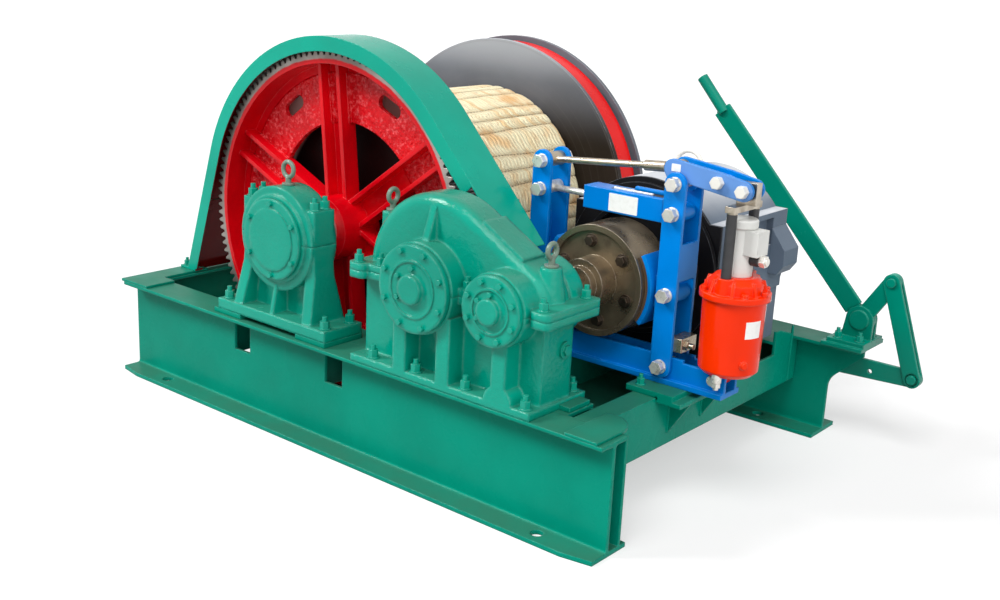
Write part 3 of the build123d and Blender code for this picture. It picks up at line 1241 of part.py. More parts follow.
def brake_arm(x, out):
    """Two upright plates joined by a tie plate on the outer side"""
    shape = SlotCenterToCenter(LEVER_Z - BRAKE_PIVOT_Z, ARM_WIDTH)
    profile = Pos(x, (LEVER_Z + BRAKE_PIVOT_Z) / 2) * Rot(0, 0, 90) * shape
    profile -= disc_at(x, BRAKE_PIVOT_Z, PIN_R + PIN_FIT)
    for z in (SHAFT_Z, SPRING_Z, LEVER_Z):
        profile -= disc_at(x, z, PIN_R)
    arm = slab_y(profile, arm_plate_places()[0]) + slab_y(profile, arm_plate_places()[1])
    edge = x + out * ARM_WIDTH / 2
    tie = sorted((edge, edge - out * ARM_PLATE))
    return arm + block(tie, about(BRAKE_Y, ARM_GAP), (SHAFT_Z + PIN_HEAD_R * 2, SPRING_Z - PIN_HEAD_R * 4))


def left_brake_arm():
    return brake_arm(LEFT_ARM_X, -1)


def right_brake_arm():
    return brake_arm(RIGHT_ARM_X, 1)


def brake_shoe(x, side):
    """Curved shoe with its lug on the arm's pin, and the lining on it"""
    outer = SHOE_R + SHOE_PLATE
    far = INPUT_X + side * 2 * outer
    rise = 2 * outer * tan(radians(SHOE_WRAP))
    wedge = outline((INPUT_X, SHAFT_Z), (far, SHAFT_Z + rise), (far, SHAFT_Z - rise))
    shoe = slab_y((disc_at(INPUT_X, SHAFT_Z, outer) - disc_at(INPUT_X, SHAFT_Z, SHOE_R)) & wedge,
                  about(BRAKE_Y, SHOE_WIDTH))
    lug = strap((x, SHAFT_Z), (INPUT_X + side * SHOE_R, SHAFT_Z), 2 * PIN_R, 3.2 * PIN_R)
    lug -= disc_at(INPUT_X, SHAFT_Z, SHOE_R + SHOE_PLATE / 2)
    lug -= disc_at(x, SHAFT_Z, PIN_R)
    shoe += slab_y(lug, about(BRAKE_Y, SHOE_LUG_WIDTH))
    lining = (disc_at(INPUT_X, SHAFT_Z, SHOE_R) - disc_at(INPUT_X, SHAFT_Z, SHOE_R - LINING)) & wedge
    return group([shoe, slab_y(lining, about(BRAKE_Y, SHOE_WIDTH))])


def left_brake_shoe():
    return brake_shoe(LEFT_ARM_X, -1)


def right_brake_shoe():
    return brake_shoe(RIGHT_ARM_X, 1)


def arm_pin(x, z):
    """Pin through both plates of an arm, with a hexagon head at the front and a nut behind"""
    pin = rod_y(x, z, PIN_R, about(BRAKE_Y, 2 * ARM_OUTSIDE))
    front = BRAKE_Y - ARM_OUTSIDE
    back = BRAKE_Y + ARM_OUTSIDE
    pin += rod_y(x, z, PIN_HEAD_R, (front - WASHER, front)) + rod_y(x, z, PIN_HEAD_R, (back, back + WASHER))
    flats = 1.7 * PIN_HEAD_R
    return pin + head_y(x, z, front - WASHER, flats) + head_y(x, z, back + WASHER, flats, 1)


def brake_pins():
    """Pivots of the arms and the thruster in the base"""
    thruster_y = about(BRAKE_Y, BASE_WIDTH)
    pins = [arm_pin(LEFT_ARM_X, BRAKE_PIVOT_Z), arm_pin(RIGHT_ARM_X, BRAKE_PIVOT_Z)]
    return group(pins + [rod_y(*THRUSTER_PIN, PIN_R, thruster_y)])


def left_arm_pins():
    """Shoe pin, the spring rod with its eye and end plate, and the tie rod's pin"""
    shoe, tie = arm_pin(LEFT_ARM_X, SHAFT_Z), arm_pin(LEFT_ARM_X, LEVER_Z)
    spring = arm_pin(LEFT_ARM_X, SPRING_Z)
    plate_x = spring_plate_x()
    spring += rod_y(LEFT_ARM_X, SPRING_Z, 1.3 * PIN_R, about(BRAKE_Y, ARM_GAP - 2 * SIDE_FIT))
    spring += rod_x(BRAKE_Y, SPRING_Z, SPRING_ROD_R, (LEFT_ARM_X, plate_x + SPRING_STROKE))
    spring += rod_x(BRAKE_Y, SPRING_Z, SPRING_R, (plate_x, plate_x + SPRING_STROKE))
    return group([shoe, tie, spring])


def spring_plate_x():
    """Inner face of the spring's end plate, well inside the box"""
    return SPRING_BOX_RIGHT - 0.35 * SPRING_BOX[0]


def right_arm_pins():
    return group([arm_pin(RIGHT_ARM_X, z) for z in (SHAFT_Z, SPRING_Z, LEVER_Z)])


def spring_box():
    """Closed box pinned in the right arm, with the brake spring inside"""
    length, width, height = SPRING_BOX
    left = SPRING_BOX_RIGHT - length
    box = block((left, SPRING_BOX_RIGHT), about(BRAKE_Y, width), about(SPRING_Z, height))
    box -= block((left + SPRING_BOX_WALL, SPRING_BOX_RIGHT - SPRING_BOX_WALL),
                 about(BRAKE_Y, width - 2 * SPRING_BOX_WALL), about(SPRING_Z, height - 2 * SPRING_BOX_WALL))
    box -= rod_x(BRAKE_Y, SPRING_Z, SPRING_ROD_R + 2 * OPEN_FIT, (left - 1, left + SPRING_BOX_WALL + 1))
    lug = strap((RIGHT_ARM_X, SPRING_Z), (SPRING_BOX_RIGHT, SPRING_Z), 1.7 * PIN_R, 1.7 * PIN_R)
    lug &= block_outline((SPRING_BOX_RIGHT, RIGHT_ARM_X + ARM_WIDTH), about(SPRING_Z, height))
    lug -= disc_at(RIGHT_ARM_X, SPRING_Z, PIN_R)
    start = left + SPRING_BOX_WALL
    end = spring_plate_x() - SPRING_STROKE
    inner = SPRING_ROD_R + 2 * OPEN_FIT
    spring = rod_x(BRAKE_Y, SPRING_Z, inner + SPRING_WIRE, (start, end))
    spring -= rod_x(BRAKE_Y, SPRING_Z, inner, (start, end))
    return group([box + slab_y(lug, about(BRAKE_Y, SHOE_LUG_WIDTH)), spring])


def tie_rod():
    """Rod between the left arm and the release lever, with an eye and an adjusting sleeve"""
    run = (TIE_RIGHT[0] - LEFT_ARM_X, TIE_RIGHT[1] - LEVER_Z)
    length = sqrt(run[0]**2 + run[1]**2)
    tilt = degrees(atan2(run[1], run[0]))
    rod = rod_x(0, 0, TIE_ROD_R, (0, length))
    rod += rod_x(0, 0, TIE_SLEEVE_R, (length - 1.6 * TIE_SLEEVE, length - 0.6 * TIE_SLEEVE))
    eyes = rod_y(0, 0, 1.5 * PIN_R, about(0, ARM_GAP - 2 * SIDE_FIT))
    eyes += rod_y(length, 0, 1.5 * PIN_R, about(0, LEVER_GAP - 2 * SIDE_FIT))
    rod += eyes
    rod -= rod_y(0, 0, PIN_R + PIN_FIT, about(0, ARM_GAP))
    rod -= rod_y(length, 0, PIN_R / 2 + OPEN_FIT, about(0, ARM_GAP))
    return Pos(LEFT_ARM_X, BRAKE_Y, LEVER_Z) * Rot(0, -tilt, 0) * rod


def brake_lever():
    """Two plates on the right arm's top pin, with pins for the tie rod, the stiffener and the crosshead"""
    pivot = (RIGHT_ARM_X, LEVER_Z)
    middle = (pivot[0] + LEVER_MIDDLE[0], pivot[1] + LEVER_MIDDLE[1])
    eyes = [disc_at(*place, LEVER_EYE_R) for place in (TIE_RIGHT, middle, LEVER_TIP)]
    profile = make_hull([edge for eye in eyes for edge in eye.edges()])
    profile += strap(TIE_RIGHT, pivot, LEVER_EYE_R, LEVER_EYE_R)
    profile -= disc_at(*pivot, PIN_R + PIN_FIT)
    inner = LEVER_GAP / 2
    outer = inner + LEVER_PLATE
    lever = slab_y(profile, (BRAKE_Y - outer, BRAKE_Y - inner))
    lever += slab_y(profile, (BRAKE_Y + inner, BRAKE_Y + outer))
    span = about(BRAKE_Y, LEVER_GAP)
    lever += rod_y(*TIE_RIGHT, PIN_R / 2, span) + rod_y(*LEVER_TIP, PIN_R / 2, span)
    lever += rod_y(*middle, PIN_R, span)
    flats = 1.5 * PIN_HEAD_R
    for place in (middle, LEVER_TIP):
        lever += head_y(*place, BRAKE_Y - outer, flats) + head_y(*place, BRAKE_Y + outer, flats, 1)
    return lever


def thruster_tubes():
    """Places along Y of the two push rods"""
    return mirror_pair(BRAKE_Y, TUBE_OFFSET)


def thruster_body():
    """Round body with a bolted flange, a ribbed cone and a lower lug"""
    corner = THRUSTER_Z + (THRUSTER_LOW_R - THRUSTER_FOOT_R)
    flange_top = THRUSTER_FLANGE_Z + THRUSTER_FLANGE
    shoulder = THRUSTER_CONE_TOP - THRUSTER_SHOULDER
    body = turned_z(THRUSTER_X, BRAKE_Y, (0, THRUSTER_Z), (THRUSTER_FOOT_R, THRUSTER_Z),
                    (THRUSTER_LOW_R, corner), (THRUSTER_R, THRUSTER_FLANGE_Z),
                    (THRUSTER_FLANGE_R, THRUSTER_FLANGE_Z), (THRUSTER_FLANGE_R, flange_top),
                    (THRUSTER_CONE_R, flange_top), (THRUSTER_CONE_R, shoulder),
                    (THRUSTER_CONE_R - THRUSTER_SHOULDER, THRUSTER_CONE_TOP), (0, THRUSTER_CONE_TOP))
    rib_top = THRUSTER_CONE_TOP - THRUSTER_RIB
    rib = outline((0, flange_top), (THRUSTER_CAP_R, flange_top), (THRUSTER_CONE_R, rib_top), (0, rib_top))
    upright = slab_y(rib, about(0, THRUSTER_RIB))
    for k in range(THRUSTER_RIBS):
        body += Pos(THRUSTER_X, BRAKE_Y, 0) * Rot(0, 0, (k + 0.5) * 360 / THRUSTER_RIBS) * upright
    for y in thruster_tubes():
        body += rod_z(THRUSTER_X, y, 1.6 * TUBE_R, (flange_top, THRUSTER_CONE_TOP))
        body -= rod_z(THRUSTER_X, y, TUBE_R + PIN_FIT,
                      (THRUSTER_CONE_TOP - TUBE_DEPTH - OPEN_FIT, THRUSTER_CONE_TOP + 1))
    lug = strap(THRUSTER_PIN, (THRUSTER_PIN[0], corner), 1.6 * PIN_R, 1.6 * PIN_R)
    lug -= disc_at(*THRUSTER_PIN, PIN_R)
    return body + slab_y(lug, about(BRAKE_Y, BASE_CHEEK_GAP - 2 * SIDE_FIT))


def thruster_motor():
    """Small motor on the cone, with its terminal box and cable gland"""
    top = THRUSTER_MOTOR_TOP
    lid = top - THRUSTER_LID
    waist = THRUSTER_MOTOR_R - THRUSTER_LID_EDGE
    can = turned_z(THRUSTER_X, BRAKE_Y, (0, THRUSTER_CONE_TOP), (waist, THRUSTER_CONE_TOP),
                   (waist, lid - THRUSTER_LID_EDGE), (THRUSTER_MOTOR_R, lid),
                   (THRUSTER_MOTOR_R, top - THRUSTER_LID_EDGE), (waist, top), (0, top))
    depth, length, height = THRUSTER_BOX
    box_top = lid - THRUSTER_LID_EDGE
    reach = THRUSTER_X + THRUSTER_MOTOR_R + depth
    box = block((THRUSTER_X + waist / 2, reach), about(BRAKE_Y, length), (box_top - height, box_top))
    gland = rod_x(BRAKE_Y, box_top - height - GLAND_R, GLAND_R, (THRUSTER_X + waist / 2, reach + GLAND_R / 2))
    return can + box + gland


def thruster_rods():
    """Push rods with the crosshead that lifts the release lever"""
    tubes = [rod_z(THRUSTER_X, y, TUBE_R, (THRUSTER_CONE_TOP - TUBE_DEPTH, CROSSHEAD_Z))
             for y in thruster_tubes()]
    width, length, height = CROSSHEAD
    top = CROSSHEAD_Z + height
    head = block(about(THRUSTER_X, width), about(BRAKE_Y, length), (CROSSHEAD_Z, top))
    lug = block(about(LEVER_TIP[0], 2 * CROSSHEAD_LUG), about(BRAKE_Y, CROSSHEAD_LUG),
                (top, LEVER_TIP[1] + 0.8 * CROSSHEAD_LUG))
    slot = SlotCenterToCenter(CROSSHEAD_SLOT, PIN_R + 2 * OPEN_FIT)
    slot = Pos(LEVER_TIP[0] - CROSSHEAD_SLOT / 4, LEVER_TIP[1]) * slot
    lug -= slab_y(slot, about(BRAKE_Y, 2 * CROSSHEAD_LUG))
    return group(tubes + [head + lug])


# Hand-lever band brake

def band_place(angle, radius):
    return DRUM_X + radius * cos(radians(angle)), DRUM_Z + radius * sin(radians(angle))


def band_sweep(inner, outer, last_angle):
    """Part of a ring from the level over the top, drawn in X and Z"""
    half = last_angle / 2
    return make_face([
        ThreePointArc(band_place(0, outer), band_place(half, outer), band_place(last_angle, outer)),
        Line(band_place(last_angle, outer), band_place(last_angle, inner)),
        ThreePointArc(band_place(last_angle, inner), band_place(half, inner), band_place(0, inner)),
        Line(band_place(0, inner), band_place(0, outer))])


def band_anchor_place():
    """Centre of the dead end's pin, on the band's tangent"""
    x, z = band_place(BAND_END_ANGLE, BAND_MIDDLE_R)
    angle = radians(BAND_END_ANGLE)
    return x - BAND_DEAD_LENGTH * sin(angle), z + BAND_DEAD_LENGTH * cos(angle)


def brake_band():
    """Steel band with its live end hanging down to the crank and its dead end on the anchor"""
    width = about(BAND_Y, BAND_WIDTH)
    band = slab_y(band_sweep(LINING_R, BAND_R, BAND_END_ANGLE), width)
    eye_top = CRANK_PIN_Z + 2 * BAND_EYE_R
    band += block(about(BAND_LIVE_X, BAND_SHEET), width, (eye_top - BAND_SHEET, DRUM_Z))
    eye_gap = OPEN_FIT + CRANK_PLATE / 2
    live_eye = strap((BAND_LIVE_X, CRANK_PIN_Z), (BAND_LIVE_X, eye_top), BAND_EYE_R, BAND_SHEET)
    live_eye -= disc_at(BAND_LIVE_X, CRANK_PIN_Z, BAND_PIN_R + 2 * OPEN_FIT)
    for y in ((width[0], BAND_Y - eye_gap), (BAND_Y + eye_gap, width[1])):
        band += slab_y(live_eye, y)
    anchor = band_anchor_place()
    start = band_place(BAND_END_ANGLE, BAND_MIDDLE_R)
    tail = Rot(0, 0, BAND_END_ANGLE - 270) * Rectangle(BAND_DEAD_LENGTH, BAND_SHEET)
    tail = Pos((start[0] + anchor[0]) / 2, (start[1] + anchor[1]) / 2) * tail
    return band + slab_y(tail + disc_at(*anchor, BAND_EYE_R), width) - rod_y(*anchor, BAND_PIN_R, width)


def band_lining():
    return slab_y(band_sweep(LINING_R - BAND_LINING, LINING_R, BAND_END_ANGLE), about(BAND_Y, BAND_WIDTH))


def band_mounts():
    """Anchor pin of the band, welded to the rear beam's web, and the brake shaft's bush"""
    anchor = band_anchor_place()
    pin = rod_y(*anchor, BAND_PIN_R, (BAND_Y - BAND_WIDTH / 2 - PLATE, REAR_WEB_FRONT))
    pin += rod_y(*anchor, 2 * BAND_PIN_R, (REAR_WEB_FRONT - PLATE, REAR_WEB_FRONT))
    bush = ring_y(BRAKE_SHAFT_X, BRAKE_SHAFT_Z, BUSH_R, BRAKE_SHAFT_R + RUNNING_FIT,
                  (REAR_Y + BEAM_WEB / 2 - BUSH_LENGTH, REAR_Y + BEAM_WEB / 2))
    return group([pin, bush])


def brake_shaft():
    """Shaft through the rear beam with the crank that pulls the band's live end"""
    centre = (BRAKE_SHAFT_X, BRAKE_SHAFT_Z)
    pin = (BAND_LIVE_X, CRANK_PIN_Z)
    shaft = rod_y(*centre, BRAKE_SHAFT_R, (BAND_Y - CRANK_PLATE, HAND_Y + HAND_PLATE))
    shaft += slab_y(strap(centre, pin, 1.7 * BRAKE_SHAFT_R, BAND_EYE_R), about(BAND_Y, CRANK_PLATE))
    return shaft + rod_y(*pin, BAND_PIN_R, about(BAND_Y, BAND_WIDTH + PLATE))


def lower_arm():
    """Long arm on the brake shaft behind the rear beam, with the link's pin at its end"""
    y = about(HAND_Y, HAND_PLATE)
    centre = (BRAKE_SHAFT_X, BRAKE_SHAFT_Z)
    profile = strap(centre, LINK_FOOT, 2 * BRAKE_SHAFT_R, HAND_EYE_R)
    profile -= disc_at(*centre, BRAKE_SHAFT_R)
    profile -= disc_at(LOWER_HOLE_X, (BRAKE_SHAFT_Z + LINK_FOOT[1]) / 2, HAND_PIN_R / 2)
    reach = HAND_PLATE + 2 * SIDE_FIT + 4 * LINK_PLATE
    return slab_y(profile, y) + rod_y(*LINK_FOOT, HAND_PIN_R, about(HAND_Y, reach))


def lever_bracket():
    """Two-layer seat on the rear beam with two cheeks and the lever's pivot pin"""
    seat = block(HAND_BASE_X, HAND_BASE_Y, (DECK, DECK + HAND_BASE))
    seat += block((HAND_BASE_X[0] + HAND_BASE, HAND_BASE_X[1]),
                  (HAND_BASE_Y[0] + HAND_BASE, HAND_BASE_Y[1] - HAND_BASE), (DECK + HAND_BASE, HAND_SEAT))
    gap = HAND_PLATE / 2 + SIDE_FIT
    x, z = HAND_PIVOT
    round_r = HAND_PIVOT_R
    cheek = outline((x - 1.2 * round_r, HAND_SEAT), (x + round_r, HAND_SEAT),
                    (x + round_r, z), (x - round_r, z))
    cheek += disc_at(x, z, round_r)
    head = gap + HAND_CHEEK + HAND_PIN_HEAD
    for out in (-1, 1):
        inside = HAND_Y + out * gap
        seat += slab_y(cheek, sorted((inside, inside + out * HAND_CHEEK)))
        seat += rod_y(*HAND_PIVOT, HAND_PIN_HEAD_R, sorted((inside, HAND_Y + out * head)))
    return seat + rod_y(*HAND_PIVOT, HAND_PIN_R, about(HAND_Y, 2 * gap))


def hand_lever():
    """Flat bar with a crank at its pivot and a round grip in line with it"""
    profile = strap(HAND_PIVOT, HAND_BAR_END, HAND_BAR_WIDTH / 2, HAND_BAR_WIDTH / 2)
    profile += strap(HAND_PIVOT, HAND_CRANK, HAND_EYE_R, HAND_EYE_R) + disc_at(*HAND_PIVOT, HAND_PIVOT_R)
    profile -= disc_at(*HAND_PIVOT, HAND_PIN_R + PIN_FIT)
    lever = slab_y(profile, about(HAND_Y, HAND_PLATE))
    run = (HAND_GRIP_END[0] - HAND_BAR_END[0], HAND_GRIP_END[1] - HAND_BAR_END[1])
    length = sqrt(run[0]**2 + run[1]**2)
    tilt = degrees(atan2(run[1], run[0]))
    grip = rod_x(0, 0, GRIP_R, (0, length))
    lever += Pos(HAND_BAR_END[0], HAND_Y, HAND_BAR_END[1]) * Rot(0, -tilt, 0) * grip
    reach = HAND_PLATE + 2 * SIDE_FIT + 4 * LINK_PLATE
    return lever + rod_y(*HAND_CRANK, HAND_PIN_R, about(HAND_Y, reach))


def lever_link():
    """Pair of straps between the lever's crank and the lower arm"""
    profile = strap(HAND_CRANK, LINK_FOOT, HAND_EYE_R, HAND_EYE_R)
    profile -= disc_at(*HAND_CRANK, HAND_PIN_R + PIN_FIT)
    profile -= disc_at(*LINK_FOOT, HAND_PIN_R + LINK_SLACK)
    inner = HAND_PLATE / 2 + SIDE_FIT
    return group([slab_y(profile, (HAND_Y - inner - LINK_PLATE, HAND_Y - inner)),
                  slab_y(profile, (HAND_Y + inner, HAND_Y + inner + LINK_PLATE))])


def frame_bolts():
    """Bolts of the brake base, the lever bracket and the guard's lug"""
    bolts = [nut_z(BRACKET_X[0] + 0.1 * ARM_WIDTH + BOLT, y, BRAKE_SEAT, 0.8 * BOLT)
             for y in mirror_pair(BRAKE_Y + 0.1 * BOLT, BASE_WIDTH)]
    for x in (HAND_BASE_X[0] + 1.5 * BOLT, HAND_BASE_X[1] - BOLT):
        bolts += [nut_z(x, y, HAND_SEAT, 0.8 * BOLT)
                  for y in (HAND_BASE_Y[0] + 1.5 * BOLT, HAND_BASE_Y[1] - 1.3 * BOLT)]
    foot_x = guard_points(GUARD_R, 0)[0][0]
    bolts.append(nut_z(foot_x - 0.3 * GUARD_LUG_X, GUARD_FRONT + GUARD_LUG_Y / 2, GUARD_FOOT_Z, 0.7 * BOLT))
    return group(bolts)


NODES = [front_beam, rear_beam, left_cross_channel, middle_cross_channel, right_cross_channel, bed_plate,
         deck_plates, brake_bracket, bearing_covers, bearings, pedestal_bolts, cover_bolts,
         lifting_eyes, gear_guard, gearbox_base, gearbox_cover, gearbox_caps, gearbox_bolts, motor_housing,
         motor_end_shields, motor_terminal_box, brake_base, brake_pins, thruster_body, thruster_motor,
         lever_bracket, brake_band, band_lining, band_mounts, frame_bolts,
         drum_shaft, drum_barrel, brake_flange, straw_wrap, bull_gear,
         output_shaft, large_gear, open_pinion, input_shaft, brake_wheel, coupling_half, motor_rotor,
         left_brake_arm, left_brake_shoe, left_arm_pins, right_brake_arm, right_brake_shoe, right_arm_pins,
         spring_box, tie_rod, brake_lever, thruster_rods, hand_lever, lever_link, lower_arm, brake_shaft]

def main():
    os.makedirs("parts", exist_ok=True)
    for node in NODES:
        export_step(node(), f"parts/{node.__name__}.step")
    for place, (y, width) in PEDESTALS.items():
        export_step(pedestal(y, width), f"parts/{place}_pedestal.step")
        export_step(pedestal_cap(y), f"parts/{place}_pedestal_cap.step")


main()
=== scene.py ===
import json
from collections import namedtuple
from math import atan2, cos, hypot, pi, radians, sin

import bmesh
import bpy
from mathutils import Matrix, Vector, noise


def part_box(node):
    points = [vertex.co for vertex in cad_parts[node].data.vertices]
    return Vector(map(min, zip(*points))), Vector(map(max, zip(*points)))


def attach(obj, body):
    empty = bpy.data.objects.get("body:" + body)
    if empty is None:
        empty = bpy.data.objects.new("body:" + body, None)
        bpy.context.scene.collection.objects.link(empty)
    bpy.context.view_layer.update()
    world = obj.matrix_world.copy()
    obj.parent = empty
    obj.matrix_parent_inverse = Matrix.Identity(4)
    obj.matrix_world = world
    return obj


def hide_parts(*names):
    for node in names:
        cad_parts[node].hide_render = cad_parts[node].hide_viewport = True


bl_info = {
    "name": "Drum Winch Dresser",
    "version": (1, 0, 0),
    "blender": (4, 5, 0),
    "location": "View3D > Sidebar > Winch",
    "description": "Paints a drum winch, lays the matting on its drum, and sets a pale studio round it",
    "category": "Object",
}

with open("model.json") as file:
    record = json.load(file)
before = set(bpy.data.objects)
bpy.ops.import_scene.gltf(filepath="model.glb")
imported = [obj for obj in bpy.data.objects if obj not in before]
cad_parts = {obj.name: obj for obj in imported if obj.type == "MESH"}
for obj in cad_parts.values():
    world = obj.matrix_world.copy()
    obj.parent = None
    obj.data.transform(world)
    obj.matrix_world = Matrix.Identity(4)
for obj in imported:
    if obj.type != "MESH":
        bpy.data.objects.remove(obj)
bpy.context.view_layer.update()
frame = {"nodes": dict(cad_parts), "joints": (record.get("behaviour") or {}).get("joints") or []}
NODES = frame["nodes"]
JOINTS = {joint["name"]: joint for joint in frame["joints"]}

# Axes taken from the frame's joints, in metres
DRUM_AXIS = JOINTS["drum_spin"]["pos_m"]
WHEEL_AXIS = JOINTS["input_spin"]["pos_m"]
LEVER_AXIS = JOINTS["hand_lever_pull"]["pos_m"]

# Faces taken from the frame's nodes, in metres
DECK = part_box("front_beam")[1][2]
CHANNEL_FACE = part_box("right_cross_channel")[1][0]
GEAR_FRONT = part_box("bull_gear")[0][1]
FLANGE_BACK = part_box("brake_flange")[1][1]
MOTOR_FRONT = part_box("motor_housing")[0][1]
RODS_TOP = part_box("thruster_rods")[1][2]
SPRING_BOX_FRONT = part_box("spring_box")[0][1]
SPRING_BOX_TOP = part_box("spring_box")[1][2]
RELEASE_LEVER_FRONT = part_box("brake_lever")[0][1]
RELEASE_LEVER_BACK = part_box("brake_lever")[1][1]

# Weld seams on the right channel's face: places along Y and heights, in metres
REAR_JOINT = 0.548
REAR_JOINT_HEAD = 0.328
FRONT_JOINT = -0.475
FRONT_JOINT_HEAD = 0.290
CHANNEL_FOOT = 0.153
BRACKET_ENDS = (-0.215, 0.044)
GUSSETS = (-0.146, 0.024)
GUSSET_FOOT = 0.182
GUSSET_HEAD = 0.278


def upright_seam(y, foot, head):
    """Ends of an upright seam on the right channel's face"""
    return (CHANNEL_FACE, y, foot), (CHANNEL_FACE, y, head)


WELD_SEAMS = (
    upright_seam(REAR_JOINT, CHANNEL_FOOT, REAR_JOINT_HEAD),
    tuple((CHANNEL_FACE, end, DECK) for end in BRACKET_ENDS),
    *(upright_seam(gusset, GUSSET_FOOT, GUSSET_HEAD) for gusset in GUSSETS),
    upright_seam(FRONT_JOINT, CHANNEL_FOOT, FRONT_JOINT_HEAD),
)

# Form of a weld bead: its swell, ripple and lumps are shares of its half width
BEAD_SIDES = 10
BEAD_SWELL = 0.9
BEAD_RIPPLE_CUTS = 4
BEAD_RIPPLE = 0.12
BEAD_LUMP = 0.3
BEAD_LUMP_SCALE = 60

# Blank plates, in metres; the thruster's is wrapped, and its foot and top are a radius and a height
Plate = namedtuple("Plate", "x z width height")
SPRING_BOX_PLATE = Plate(x=0.643, z=0.758, width=0.089, height=0.047)
RELEASE_LEVER_PLATE = Plate(x=0.792, z=0.876, width=0.026, height=0.019)
RELEASE_LEVER_PLATE_SEAT = RELEASE_LEVER_FRONT + 0.0171
THRUSTER_PLATE_FOOT = (0.0783, 0.487)
THRUSTER_PLATE_TOP = (0.0793, 0.531)
THRUSTER_PLATE_START = radians(-37)
THRUSTER_PLATE_SWEEP = radians(34)

# Thruster's upright axis and flange bolts, in metres and degrees; a washer is a share of the bolt's flats
THRUSTER_AXIS = (0.972, -0.104)
THRUSTER_BOLT_TURNS = (0, 45, 135, 180, 225, 315)
THRUSTER_BOLT_CIRCLE = 0.080
THRUSTER_FLANGE_TOP = 0.5905
THRUSTER_WASHER_TOP = 0.5930
WASHER_SHARE = 0.65
THRUSTER_BOLT_TOP = 0.6020

# Thruster's drain plug, with its collar and end measured outwards from its seat
DRAIN_TURN = radians(-34)
DRAIN_SEAT = 0.0755
DRAIN_HEIGHT = 0.418
DRAIN_COLLAR = 0.004
DRAIN_COLLAR_RADIUS = 0.0125
DRAIN_END = 0.011
DRAIN_FLATS = 0.017

# Thruster's hose nipple, hanging under its body
NIPPLE_PLACE = (THRUSTER_AXIS[0] + 0.003, THRUSTER_AXIS[1] - 0.059)
NIPPLE_TOP = 0.392
NIPPLE_RADIUS = 0.0125
NIPPLE_NUT_TOP = 0.362
NIPPLE_NUT_FOOT = 0.350
NIPPLE_NUT_FLATS = 0.021
NIPPLE_FOOT = 0.343
NIPPLE_TIP_RADIUS = 0.007

# Thruster's cable gland, lying along X
GLAND_PLACE = (THRUSTER_AXIS[1], 0.677)
GLAND_START = 1.006
GLAND_END = 1.030
GLAND_RADIUS = 0.0155
GLAND_NUT_START = 1.0325
GLAND_NUT_END = 1.0475
GLAND_NUT_FLATS = 0.027
GLAND_TIP_END = 1.0515
GLAND_TIP_RADIUS = 0.010

# Stop block of the right brake arm and the screw in it, which lies along X
STOP_LOW = (0.818, -0.1408, 0.402)
STOP_HIGH = (0.856, -0.0672, 0.440)
STOP_ROUNDING = 0.0025
STOP_SCREW_PLACE = (-0.118, 0.421)
STOP_NUT_END = 0.864
STOP_NUT_FLATS = 0.024
STOP_SCREW_END = 0.880
STOP_SCREW_RADIUS = 0.008

# Sheath of the hand lever's bar, measured along the bar from the lever's axis
LEVER_BAR_RUN = Vector((-0.518, 0, 0.549))
SHEATH_START = 0.040
SHEATH_END = LEVER_BAR_RUN.length + 0.012
SHEATH_HALF = 0.0062
SHEATH_ROUNDING = 0.0016

# Skirt inside the guard's left leg: turn and radius of the end of the guard's arc, start down the leg from
# there, and front and back along Y
SKIRT_TURN = radians(162.5)
SKIRT_RADIUS = 0.5543
SKIRT_START = 0.190
SKIRT_FRONT = -0.3250
SKIRT_BACK = -0.1780
SKIRT_HALF = 0.0015
SKIRT_ROUNDING = 0.0005

# Fittings laid on the spring box's top: corners in plan, rise and rounding, in metres
Trim = namedtuple("Trim", "piece finish slot start end rise rounding")
SPRING_BOX_TRIMS = (
    Trim("spring_box_slot", "gland rubber", "dark_steel",
         start=(0.590, -0.1180), end=(0.770, -0.0900), rise=0.0008, rounding=0.0004),
    Trim("spring_box_clip", "plated steel", "bright_steel",
         start=(0.600, -0.1215), end=(0.722, -0.1135), rise=0.0060, rounding=0.0024),
    Trim("spring_box_hump", "blue enamel", "brake_blue_paint",
         start=(0.648, -0.0960), end=(0.742, -0.0820), rise=0.0120, rounding=0.0050),
)
TRIM_SUNK = 0.0010

# Form of the matting, with lengths in metres, how finely it is cut and how its seams stray
MAT_DEPTH = 0.018
MAT_ROLL = 0.012
MAT_CUTS = 84
MAT_EDGE_CUTS = 2
MAT_STEPS = 540
MAT_CROWN = 0.45
MAT_LUMP = 0.0022
MAT_LUMP_SCALE = 14
SEAM_STRAY_ROUND = 3
SEAM_STRAY_ALONG = 4
BANDS_TO_A_WAVE = 3

# Places where a piece's finish changes, each over a short way from one place to another, in metres
GEAR_WEB_DEPTH = (0.085, 0.095)
GEAR_WEB_INNER = (0.300, 0.312)
GEAR_WEB_OUTER = (0.458, 0.450)
GEAR_TEETH = (0.492, 0.497)
BARREL_HUB = (0.345, 0.325)
BARREL_START = (-0.201, -0.199)
# Heights of the flange's painted reflections: bright towards the top, dark brown towards the lower side
FLANGE_BRIGHT_REFLECTION_HEIGHT = (0.40, 0.52)
FLANGE_DARK_REFLECTION_HEIGHT = (0.46, 0.22)
FLANGE_OUTER_PLATE = (-0.032, -0.030)
SHOE_LINING_RADIUS = (0.1590, 0.1580)
RELEASE_LEVER_FRONT_HEADS = (0.0172, 0.0168)
RELEASE_LEVER_BACK_HEADS = (-0.0172, -0.0168)
# Distances behind the motor's front where its painted shade fades out and where it is full
MOTOR_PAINTED_SHADE_END = (0.012, 0.004)
MOTOR_EYE_START = (-0.01, 0.01)
CROSSHEAD_FOOT = (-0.0740, -0.0735)

# How far the paint's edge strays at the gear's teeth, in metres
GEAR_RAGGED = 0.0015

# How far the guard's primed side faces outwards, where 1 is straight out and -1 straight in
PRIMED_SIDE = (-0.3, -0.5)

